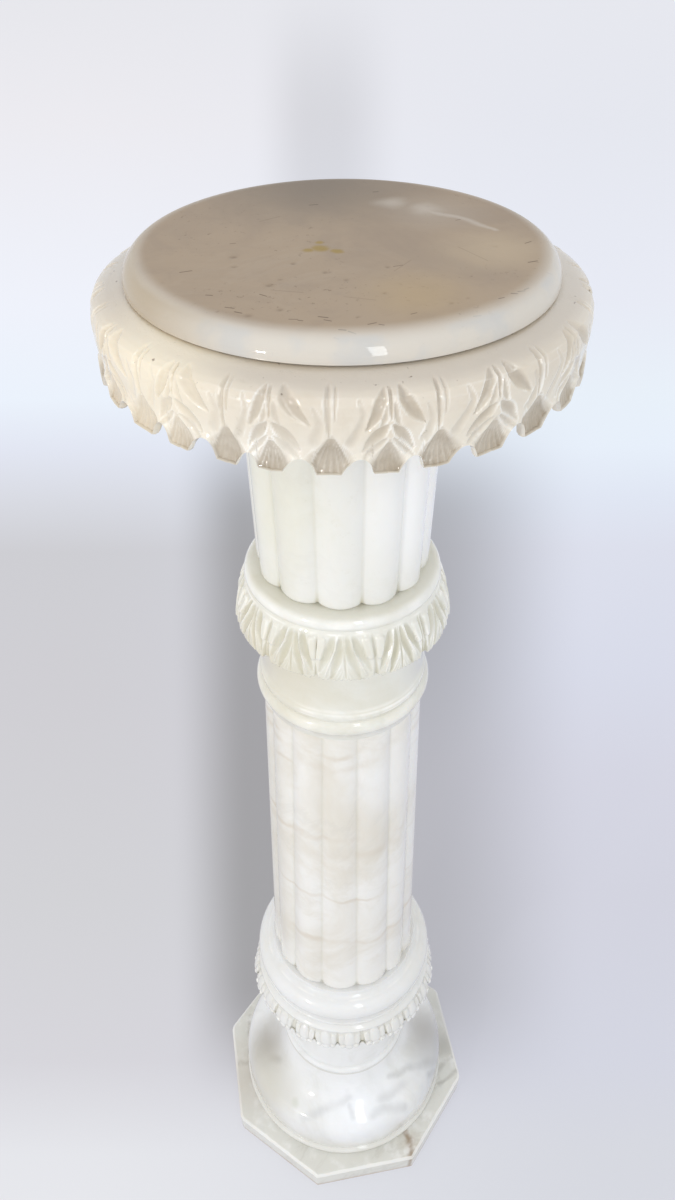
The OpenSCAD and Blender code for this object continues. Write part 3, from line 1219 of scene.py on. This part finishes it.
DISC_SPECKS = (
    (-28, -93, 4, -2, 0.7), (-26, -97, 3, -2, 0.6), (-21, -108, 3, -1, 0.7), (-17, -110, 3, -2, 0.6),
    (-24, -112, 2, -1, 0.5), (69, -84, 3, 0, 0.8), (73, -82, 4, 1, 0.6), (77, -80, 3, 2, 0.6),
    (15, -99, 3, 1, 0.5), (-7, -106, 4, 1, 0.6), (-2, -107, 2, -1, 0.6), (44, -104, 4, 1, 0.5),
    (61, -89, 3, 1, 0.6), (-89, -27, 6, 1, 0.7), (-78, -58, 3, -1, 0.7), (-70, -74, 4, -2, 0.6),
    (-66, -80, 3, -2, 0.7), (-52, -62, 3, -3, 0.6), (-42, -93, 4, -1, 0.5), (-38, -95, 2, -1, 0.6),
    (90, -48, 5, 1, 0.8), (96, -60, 4, 1, 0.6), (97, -22, 4, 2, 0.6), (34, 78, 3, 0, 0.8),
    (-8, 62, 5, 0, 0.7), (70, 20, 3, 1, 0.5), (-60, 8, 3, 0, 0.5), (20, -40, 5, 1, 0.5),
)  # place, run and width of each dark speck

DISC_MARKS = (
    # Painted shade: the back half of the face darker.
    Mark((138, 128, 117), 0.85, (Blot((6, 100, 0), 105),), (22.0, 12.0), True),
    # Painted light: a paler patch on the front right of the face.
    Mark((200, 182, 156), 0.50, (Blot((78, -30, 0), 46),), (22.0, 12.0), True),
    Mark((214, 206, 196), 0.42, (Blot((40, 56, 0), 16), Blot((58, 40, 0), 14),
                                 Streak((60, 38, 0), (86, 2, 0), 4)), (22.0, 12.0), True),
    Mark((196, 186, 174), 0.30, (Blot((62, 36, 1000), 40),), (30.0, 6.0)),
    Mark((194, 168, 124), 0.33, (Blot((24, -78, 1000), 42),), (30.0, 6.0)),
    Mark((163, 140, 84), 0.80, (Blot((-13, -8, 1000), 6.6, 0.3), Blot((-20, -9, 1000), 4.2, 0.3),
                                Blot((-5, -13, 1000), 4.6, 0.3), Blot((-12, 1, 1000), 3.6, 0.3)),
         (160.0, 2.0)),
    Mark((112, 96, 82), 0.28, (Streak((-46, -58, 0), (-31, -64, 0), 0.6),
                               Streak((-12, -73, 0), (2, -80, 0), 0.5),
                               Streak((19, -46, 0), (31, -33, 0), 0.5),
                               Streak((-40, 40, 0), (-28, 46, 0), 0.8),
                               Streak((60, -20, 0), (70, -42, 0), 0.5)), None, True),
    Mark((78, 66, 54), 0.75, tuple(Streak((x, y, 0), (x + dx, y + dy, 0), 0.95 * wide)
                                   for x, y, dx, dy, wide in DISC_SPECKS), None, True),
    Mark((214, 208, 198), 0.92, edges=((OUT, 105, 118),), edge_fray=(40.0, 1.0)),
    Mark((194, 195, 195), 0.55, edges=((OUT, 112, 116),), edge_fray=(40.0, 1.0),
         patches=(26.0, 4.0, 0.55, 0.45, 0.62)),
    # Painted shade: the rim darker and tan on the left.
    Mark((180, 164, 140), 0.95, (Blot((-112, -20, 992), 100, 0.2),), (30.0, 6.0),
         edges=((OUT, 110, 116),), edge_fray=(40.0, 1.0)),
)  # painted shade on the back and painted light at the front right of the face, cloudy vein, ochre stain, scratches, specks, rim, and painted shade on the rim's left

CAPITAL_MARKS = (
    # Painted shade: the band under the disc's overhang darker inwards.
    Mark((199, 189, 176), 0.80, edges=((OUT, 138.5, 129),), edge_fray=(30.0, 3.0)),
    # Painted shade: darker towards the top.
    Mark((206, 195, 180), 0.45, edges=((UP, 955, 980),), edge_fray=(30.0, 6.0)),
    Mark((230, 226, 218), 0.25, edges=((UP, 964, 950),), edge_fray=(40.0, 6.0)),
    # Painted shade under the disc's edge.
    Mark((190, 176, 152), 0.30, edges=((OUT, 122.5, 120),), edge_fray=(30.0, 3.0)),
    # Painted light: the left side paler and warmer, on the leaves and on the band.
    Mark((236, 216, 184), 0.35, (Blot((-132, -60, 960), 85),), (30.0, 6.0)),
    Mark((240, 229, 206), 0.85, (Blot((-106, -74, 984), 70),), (30.0, 6.0)),
    Mark((120, 100, 84), 0.75, edges=((UP, 972, 978),), patches=(210.0, 2.0, 0.5, 0.70, 0.76)),
)  # painted shade on the band above the leaves and under the disc's edge, painted light on the left side, and specks at the leaf tops

PLINTH_MARKS = (
    Mark((176, 156, 122), 0.30, (Blot((54, -116, 22), 22),), (40.0, 5.0)),
    # Grey veins, and painted shade beside the foot on the right.
    Mark((164, 160, 150), 0.50, (Streak((128, -31, 24), (104, -44, 24), 5),
                                 Streak((129, -48, 24), (104, -58, 24), 4),
                                 Streak((-108, 62, 24), (-112, -8, 24), 4),
                                 Streak((-126, 8, 24), (-104, 2, 24), 5),
                                 Blot((119, -15, 24), 24, 0.1)), (40.0, 5.0)),
    Mark((140, 112, 78), 0.75, (Streak((52, -101, 24), (55, -114, 24), 5.0),
                                Streak((55, -112, 24), (53, -129, 22), 7.5),
                                Streak((52, -131, 20), (51, -131, 0), 4.0)), (120.0, 1.2)),
    Mark((240, 239, 236), 0.70, edges=((UP, 20, 20.8), (UP, 24, 23.4)), edge_fray=(60.0, 1.2)),
    # Painted shade beside the foot on the left and on the right.
    Mark((192, 182, 168), 0.50, (Blot((-122, -10, 24), 70),), (40.0, 5.0)),
    Mark((176, 175, 172), 0.40, (Blot((120, 20, 24), 70),), (40.0, 5.0)),
    Mark((184, 152, 120), 0.60, edges=((UP, 6, 0),), edge_fray=(60.0, 1.2)),
)  # brown crack at one corner, grey veins, painted shade beside the foot, bright worked edge and dark lower arris

DOME_MARKS = (
    # Painted light on the front.
    Mark((247, 249, 253), 0.70, (Blot((4, -98, 84), 62, 0.1),), (28.0, 7.0)),
    Mark((180, 180, 182), 0.32, (Streak((13, -102, 80), (29, -96, 82), 8.0),
                                 Streak((29, -96, 82), (50, -95, 74), 8.5),
                                 Streak((26, -89, 87), (56, -77, 86), 9.0),
                                 Streak((-11, -78, 99), (-8, -98, 82), 5.0, fray=(60.0, 4.0)),
                                 Streak((-62, -86, 74), (-29, -85, 90), 8.5),
                                 Streak((-29, -85, 90), (-10, -82, 94), 7.0)), (28.0, 7.0)),
    Mark((168, 166, 162), 0.62, (Streak((112, -34, 45), (84, -57, 81), 9.0),
                                 Streak((84, -57, 81), (42, -69, 98), 7.0),
                                 Streak((106, -47, 45), (86, -66, 72), 7.0),
                                 Streak((-112, 7, 45), (-79, -28, 94), 8.0),
                                 Streak((-68, 82, 84), (20, 104, 70), 5.0),
                                 Streak((20, 104, 70), (92, 62, 60), 5.0)), (28.0, 7.0)),
    # Painted shade on both sides, under the fringe.
    Mark((166, 160, 150), 0.85, (Blot((92, -22, 84), 44), Blot((-88, -6, 84), 48)), (28.0, 7.0)),
    Mark((204, 208, 192), 0.45, (Blot((-68, -72, 83), 7, 0.2),), (60.0, 4.0)),
    # Painted shade on the lower wall, which faces sideways.
    Mark((222, 219, 208), 0.45, edges=((UP, 56, 38),), edge_fray=(28.0, 7.0)),
    # Painted shade on the left and right sides.
    Mark((200, 195, 179), 0.80, (Blot((-92, -42, 66), 60),), (28.0, 7.0)),
    Mark((190, 190, 192), 0.70, (Blot((102, -28, 64), 62),), (28.0, 7.0)),
    Mark((198, 200, 204), 0.50, (Blot((84, -62, 62), 46),), (28.0, 7.0)),
    # Painted shade in the crease under the ring.
    Mark((170, 160, 140), 0.35, edges=((UP, 116.2, 117.4), (UP, 118.6, 117.4))),
)  # painted light on the front, soft grey veins, painted shade on both sides, on the lower wall and in the crease under the ring

COLLAR_MARKS = (
    # Painted shade on the rim's top, under the drum's foot.
    Mark((214, 210, 186), 0.25, edges=((UP, 780.8, 782.6),), edge_fray=(50.0, 0.6)),
    # Painted highlight along the rim's crest.
    Mark((244, 244, 241), 0.35, edges=((UP, 773.5, 776.5), (UP, 781.8, 779.5)),
         edge_fray=(50.0, 0.6)),
    # Painted shade on both sides, greener on the left.
    Mark((204, 203, 197), 0.70, (Blot((68, -18, 702), 52),), (24.0, 8.0)),
    Mark((211, 203, 180), 0.85, (Blot((-66, -30, 718), 74),), (24.0, 8.0)),
)  # painted shade on the rim's top, painted highlight on the rim, painted shade on both sides

DRUM_VEINS = ((630, 7, 0.75), (612, 4, 0.6), (536, 5, 0.65), (520, 12, 0.40), (448, 4, 0.5),
              (392, 6, 0.5), (645, 4, 0.55))  # height, half width and share of each

DRUM_MARKS = (
    *(Mark((206, 192, 170), share, edges=((UP, high - wide, high), (UP, high + wide, high)),
           edge_fray=(16.0, 22.0), patches=(14.0, 4.0, 0.55, 0.38, 0.62))
      for high, wide, share in DRUM_VEINS),
    # Painted light: the right side whiter.
    Mark((244, 244, 244), 0.60, (Blot((48, -50, 600), 70, 0.3),), (20.0, 10.0)),
    # Painted shade: the left side duller.
    Mark((206, 199, 180), 0.45, (Blot((-70, -8, 480), 190, 0.6),), (20.0, 10.0),
         edges=((SIDE, -45, -66),)),
)  # wavy brown veins, painted light on the right and painted shade on the left

UPPER_MARKS = (
    # Painted light: the right side whiter.
    Mark((251, 251, 251), 0.85, (Blot((66, -24, 862), 96, 0.3),), (20.0, 10.0)),
    # Painted shade: a greenish, duller left side.
    Mark((226, 224, 200), 0.30, (Blot((-66, -24, 862), 84, 0.2),), (20.0, 10.0)),
)  # painted light on the right side and painted shade, greenish, on the left


def finishes() -> dict[str, Alabaster]:
    """The finish of each stone.

    Returns:
        The finishes, by the name of each stone's node.
    """
    white = dict(vein=(206, 202, 194), dirt_and_shade=(192, 186, 156))
    return {
        "plinth": Alabaster("plinth stone", (221, 220, 213), (209, 208, 198),
                            (176, 170, 158), (150, 136, 112), 0.3, 0.2, 0.1,
                            marks=PLINTH_MARKS),
        "domed_foot": Alabaster("dome stone", (236, 236, 235), (214, 213, 207),
                                clouds=0.7, veins=0.15, flecks=0.05, marks=DOME_MARKS, **white),
        "foot_collar": Alabaster("white stone", (231, 231, 230), (222, 219, 209),
                                 clouds=0.5, veins=0.1, flecks=0.1, chatter=0.1, **white),
        "lower_drum": Alabaster("drum stone", (237, 235, 230), (222, 216, 203),
                                clouds=0.9, veins=0.2, flecks=0.1, marks=DRUM_MARKS, **white),
        "leaf_collar": Alabaster("collar stone", (231, 230, 222), (218, 214, 197),
                                 clouds=0.6, veins=0.1, flecks=0.1, chatter=0.15,
                                 marks=COLLAR_MARKS, **white),
        "upper_drum": Alabaster("upper drum stone", (234, 233, 227), (224, 221, 207),
                                clouds=0.6, veins=0.1, flecks=0.1, marks=UPPER_MARKS, **white),
        "leaf_capital": Alabaster("capital stone", (229, 221, 206), (213, 200, 178),
                                  (186, 168, 142), (142, 122, 90), 0.5, 0.1, 0.3, 1.0,
                                  chatter=0.3, bump=0.45, marks=CAPITAL_MARKS),
        "top_disc": Alabaster("disc stone", (176, 158, 138), (163, 147, 131),
                              (192, 180, 164), (102, 88, 72), 0.8, 0.10, 0.45, 0.5, 0.1, 0.85,
                              shine=0.10, polished_from=0.1115, density=1.12,
                              marks=DISC_MARKS),
    }


# --------------------------------------------------------------------- scene
@dataclass(frozen=True)
class Lamp:
    """Area lamp that faces the column; it is turned from the camera's side to its right."""

    name: str
    turn: float
    rise: float
    size: Point
    power: float
    color: Triple
    glints: bool = True
    far: float = 1.5
    aim: float = 0.6

    def hang(self) -> None:
        """Puts the lamp up; without glints, polished stone doesn't mirror it."""
        data = bpy.data.lights.new(self.name, "AREA")
        data.shape, data.energy, data.color = "RECTANGLE", self.power, self.color
        data.size, data.size_y = self.size
        obj = bpy.data.objects.new(self.name, data)
        bpy.context.collection.objects.link(obj)
        a, e = math.radians(self.turn + FRONT), math.radians(self.rise)
        way = Vector((math.cos(a) * math.cos(e), math.sin(a) * math.cos(e), math.sin(e)))
        obj.location = Vector((0, 0, self.aim)) + way * self.far
        obj.rotation_euler = way.to_track_quat("Z", "Y").to_euler()
        obj.visible_glossy = self.glints


@dataclass
class Studio:
    """Camera, pale floor, soft sky and lamps."""

    eye: Triple = (-0.09341, -0.51203, 1.18772)
    tilt: float = 49.47
    roll: float = -0.42
    lens: float = 28.5
    kept_shadow: float = 0.14
    daylight: Triple = (0.85, 0.86, 0.88)
    sky_tone: Triple = (0.96, 0.975, 1.0)
    sky_power: float = 0.82
    left_tones: tuple[tuple[float, Triple], ...] = (
        (0.0, (228, 229, 234)), (0.06, (226, 227, 232)), (0.118, (212, 211, 217)),
        (0.22, (208, 208, 212)), (0.35, (206, 205, 210)), (0.45, (205, 205, 210)),
        (0.485, (216, 218, 226)), (0.52, (226, 230, 242)), (0.555, (235, 242, 252)),
        (0.62, (239, 242, 251)), (0.75, (236, 235, 240)), (0.83, (231, 231, 236)),
        (1.0, (228, 228, 233)))
    right_tones: tuple[tuple[float, Triple], ...] = (
        (0.0, (212, 214, 222)), (0.06, (212, 214, 222)), (0.118, (210, 212, 224)),
        (0.22, (209, 210, 222)), (0.30, (212, 213, 226)), (0.37, (216, 219, 233)),
        (0.45, (220, 223, 236)), (0.485, (224, 230, 243)), (0.52, (231, 239, 250)),
        (0.555, (232, 240, 249)), (0.62, (232, 235, 245)), (0.75, (229, 231, 239)),
        (1.0, (231, 231, 236)))
    lamps: tuple[Lamp, ...] = (
        Lamp("left lamp", -38, 16, (0.10, 0.10), 4.2, (1.0, 0.98, 0.95)),
        Lamp("left wall", -80, 30, (0.9, 0.9), 2.6, (1.0, 0.97, 0.92), False),
        Lamp("right wall", 80, 30, (0.9, 0.9), 1.6, (0.97, 0.99, 1.0), False),
        Lamp("front window", 17, 34, (0.17, 0.8), 2.6, (0.95, 0.99, 1.0)),
        Lamp("room light", 10, 34, (0.9, 0.9), 1.2, (1.0, 1.0, 1.0), False))

    def camera(self) -> None:
        """Looks down on the column from a person's height, close by."""
        data = bpy.data.cameras.new("camera")
        data.lens, data.sensor_width, data.sensor_fit = self.lens, 36.0, "AUTO"
        data.clip_end = 60.0
        obj = bpy.data.objects.new("camera", data)
        bpy.context.collection.objects.link(obj)
        obj.matrix_world = Matrix.Translation(self.eye)
        for angle, axis in ((-VIEW_TURN, "Z"), (self.tilt, "X"), (self.roll, "Z")):
            obj.matrix_world = obj.matrix_world @ Matrix.Rotation(math.radians(angle), 4, axis)
        bpy.context.scene.camera = obj

    def floor(self) -> None:
        """Wide pale floor that shows its own tones and painted shades, and keeps the column's
        shadow.
        """
        bpy.ops.object.select_all(action="DESELECT")
        bpy.ops.mesh.primitive_plane_add(size=40.0, location=(0, 0, -0.0002))
        obj = bpy.context.object
        obj.name = "floor"
        material = bpy.data.materials.new("pale floor")
        material.use_nodes = True
        w = Wiring(material.node_tree)
        link = material.node_tree.links.new
        shader = material.node_tree.nodes["Principled BSDF"].inputs
        rays = w.add("ShaderNodeLightPath").outputs
        seen = w.strongest(
            rays["Is Camera Ray"], rays["Is Glossy Ray"], rays["Is Transmission Ray"])
        own = self.kept_shadow
        lit = tuple(own * v for v in self.daylight)
        link(w.mix(1.0, self._tones(w), (*lit, 1.0), "SUBTRACT"), shader["Emission Color"])
        link(w.mix(seen, srgb(226, 226, 229), (own, own, own, 1.0)), shader["Base Color"])
        link(seen, shader["Emission Strength"])
        shader["Roughness"].default_value = 0.9
        shader["Specular IOR Level"].default_value = 0.1
        obj.data.materials.append(material)

    def _tones(self, w: Wiring) -> Socket:
        """Tones that change with distance, with soft shades, plain where nobody stands.

        Args:
            w: The floor's wiring.

        Returns:
            The floor's colour.
        """
        coords = w.add("ShaderNodeTexCoord").outputs["Object"]
        turn = {"Vector": coords, "Rotation": (0, 0, math.radians(VIEW_TURN))}
        turned = w.add("ShaderNodeMapping", turn).outputs[0]
        side, depth = w.axis(turned, "X"), w.axis(turned, "Y")
        far = w.math("MAXIMUM", w.math("ADD", depth, 0.2), 0.0)
        place = w.math("DIVIDE", far, w.math("ADD", far, 1.5))
        sine, cosine = math.sin(math.radians(self.tilt)), math.cos(math.radians(self.tilt))
        below = math.hypot(*self.eye[:2]) * sine + self.eye[2] * cosine
        sight = w.math("MAXIMUM", w.math("ADD", w.times(depth, sine), below), 0.4)
        across = w.math("DIVIDE", w.math("ADD", side, 0.0036), sight)
        left, right = w.bands(place, self.left_tones), w.bands(place, self.right_tones)
        color = w.mix(w.ramp(across, -0.30, 0.30), left, right)
        # Painted shade on both sides behind the shaft, and a darker patch far behind the column.
        color = w.tint(color, self._shade(w, across, place), 1.0, (118, 116, 114))
        behind = w.times(w.ramp(across, -0.090, -0.025), w.ramp(across, 0.080, 0.0),
                         w.ramp(place, 0.87, 0.745), w.ramp(place, 0.58, 0.66))
        color = w.tint(color, behind, 0.19, (96, 96, 98))
        away = w.strongest(w.ramp(w.math("ABSOLUTE", across), 0.40, 0.75),
                           w.ramp(depth, -0.4, -1.1), w.ramp(depth, 9.0, 14.0))
        return w.mix(away, color, (*(v * self.sky_power for v in self.sky_tone), 1.0))

    def _shade(self, w: Wiring, across: Socket, place: Socket) -> Socket:
        """Soft shade on both sides behind the shaft, stronger on the left.

        Args:
            w: The floor's wiring.
            across: Place across the view.
            place: Place along the view.

        Returns:
            How much of the shade shows.
        """
        ease = w.math("SUBTRACT", 0.22, w.times(w.ramp(place, 0.28, 0.43), 0.15))
        depth = w.math("SUBTRACT", 0.59, w.times(w.ramp(across, -0.05, 0.05), ease))
        return w.times(w.ramp(across, -0.178, -0.095), w.ramp(across, 0.27, 0.09), depth,
                       w.ramp(place, 0.08, 0.17), w.ramp(place, 0.56, 0.47))

    def sky(self) -> None:
        """Soft even daylight."""
        world = bpy.data.worlds.new("daylight")
        bpy.context.scene.world = world
        world.use_nodes = True
        back = world.node_tree.nodes["Background"].inputs
        back["Color"].default_value = (*self.sky_tone, 1.0)
        back["Strength"].default_value = self.sky_power

    def build(self) -> None:
        """Sets everything up."""
        bpy.context.scene.view_settings.view_transform = "Standard"
        self.sky()
        self.camera()
        self.floor()
        for lamp in self.lamps:
            lamp.hang()


# ---------------------------------------------------------------- the column
def stones() -> list[Stone]:
    """The seven turned stones, from the foot to the top.

    Returns:
        The stones, not built yet.
    """
    dome = DomedFoot(
        "domed_foot_stone", "domed_foot", "foot_stone", 240,
        outline(
            ([(0, 24), (112, 24)], 8),
            (arc((111, 28), 4, -60, 75), 10),
            ([(112.04, 31.9), (110.6, 32.6)], 3),
            (bez((111.8, 34), (114.6, 48), (114.8, 66), (108.4, 74.2)), 34),
            (bez((107, 76.1), (101, 84), (76, 86), (68, 117)), 44),
            ([(68, 117), (67.2, 117.8)], 2),
            (arc((63.2, 122), 5, -50, 70), 12),
            ([(64.9, 126.7), (63.6, 127)], 3),
            (bez((63, 128), (60.5, 141), (59, 190), (64, 234)), 36),
            ([(64, 234), (0, 234)], 5),
        ),
    )
    foot = FootCollar(
        "foot_collar_stone", "foot_collar", "white_stone", 768,
        outline(
            ([(0, 234), (65, 234)], 4),
            ([(65, 234), (69, 242), (86, 238.5), (89, 236.5)], 10),
            ([(89, 236.5), (92, 234.6), (93, 234.2), (93.9, 235.2)], 6),
            (bez((93.9, 235.2), (95.0, 243), (92.5, 254), (87.5, 261)), 40),
            ([(87.5, 261), (84, 263.5), (82.5, 264)], 4),
            (arc((81.5, 266.5), 2, -50, 60), 6),
            (arc((73.5, 287), 13, -50, 78), 24),
            ([(76, 299.6), (71.5, 302), (70.5, 306)], 6),
            ([(70.5, 306), (0, 306)], 4),
        ),
    )
    lower = ReededDrum(
        "lower_drum_stone", "lower_drum", "drum_stone", 14 * 28,
        outline(
            ([(0, 306), (64, 306)], 4),
            (arc((64, 311), 5, -90, 0), 8),
            ([(69, 311), (61, 659.5)], 60),
            (arc((59.5, 659.5), 1.5, 0, 90), 4),
            ([(59.5, 661), (0, 661)], 4),
        ),
        reeds=14,
        valleys_head=valleys(-140.7, 14, {0: 0.0, 1: -0.2, 2: -0.9, 3: 0.4}, 2),
        valleys_foot=valleys(-145.9, 14, {0: 0.0, 1: 1.2, 2: 5.0, 3: 7.0, 4: 3.5}, 3),
    )
    collar = LeafCollar(
        "leaf_collar_stone", "leaf_collar", "collar_stone", 12 * 76,
        outline(
            ([(0, 661), (61.5, 661)], 4),
            (arc((57.5, 673.5), 8.1, -58, 58), 16),
            ([(61.8, 681.2), (62.6, 684), (62.6, 687), (61.2, 689.5)], 8),
            (bez((61, 689.5), (60, 692), (58, 705), (60.5, 733)), 20),
            ([(60.5, 733), (63, 739), (70, 738), (74, 736.2)], 8),
            ([(74, 736.2), (75.6, 736.1), (76.6, 737.4)], 3),
            (bez((76.6, 737.4), (76.8, 748), (74.2, 759), (68.6, 771)), 42),
            ([(68.6, 771), (67.4, 773)], 3),
            (arc((62.4, 776.6), 6.1, -20, 90), 12),
            ([(62.4, 782.7), (60, 783)], 2),
            ([(60, 783), (0, 783)], 3),
        ),
    )
    upper = ReededDrum(
        "upper_drum_stone", "upper_drum", "drum_stone", 12 * 28,
        outline(
            ([(0, 783), (55.5, 783)], 4),
            (arc((55.5, 787), 4, -90, 0), 7),
            ([(59.5, 787), (63.5, 940.5)], 36),
            (arc((62, 940.5), 1.5, 0, 90), 4),
            ([(62, 942), (0, 942)], 4),
        ),
        reeds=12, foot=783.0, head=942.0, foot_radius=59.5, head_radius=63.5, tongue=7.0,
        valleys_head=valleys(-148.3, 12, {0: 0.0, 1: 0.9, 2: 0.9, 3: -1.7, 4: -3.1}, 7),
        valleys_foot=valleys(-148.3, 12, {0: 0.0, 1: 0.9, 2: 0.9, 3: -1.7, 4: -3.1}, 7),
    )
    capital = LeafCapital(
        "leaf_capital_stone", "leaf_capital", "capital_stone", 15 * 80,
        outline(
            ([(0, 942), (73.5, 942)], 3),
            ([(73.5, 942), (106, 944), (118, 948), (127, 950)], 5),
            ([(127, 950), (131.5, 945.5), (133.6, 939.5)], 6),
            ([(133.6, 939.5), (134.6, 938.1), (138.2, 938.0), (139.3, 938.9)], 4),
            ([(139.3, 938.9), (138.2, 943.5), (138.0, 949), (138.9, 957), (139.6, 965),
              (139.6, 971)], 41),
            ([(139.6, 971), (139.0, 975.5), (137.4, 979), (134, 981), (130, 982.4)], 20),
            ([(130, 982.4), (119, 984.9)], 7),
            ([(119, 985), (0, 985)], 2),
        ),
        warp=((-180, -180), (-72, -75.3), (-60.4, -63.3), (-46.1, -51.3), (-35.8, -39.3),
              (-23.8, -27.3), (-14.4, -15.3), (-2.4, -3.3), (8.7, 8.7), (19.0, 20.7),
              (31.7, 32.7), (44.4, 44.7), (58.1, 56.7), (72.0, 68.7), (180, 180)),
    )
    disc = TopDisc(
        "top_disc_stone", "top_disc", "disc_stone", 480,
        outline(
            ([(0, 985), (117.8, 985)], 4),
            (arc((107, 987), 13, -6, 90), 26),
            ([(107, 1000), (0, 1000)], 70),
        ),
    )
    return [dome, foot, lower, collar, upper, capital, disc]


def main() -> None:
    """Builds the column and its surroundings, and reports every piece."""
    logging.basicConfig(level=logging.INFO, format="%(name)s: %(message)s")
    tone = stone_group()
    finish = finishes()
    for stone in [Plinth(), *stones()]:
        obj = stone.build(finish[stone.node].build(tone))
        faces = sum(len(p.vertices) - 2 for p in obj.data.polygons)
        log.info("%s: %d triangles", obj.name, faces)
    Studio().build()


if __name__ == "__main__":
    main()
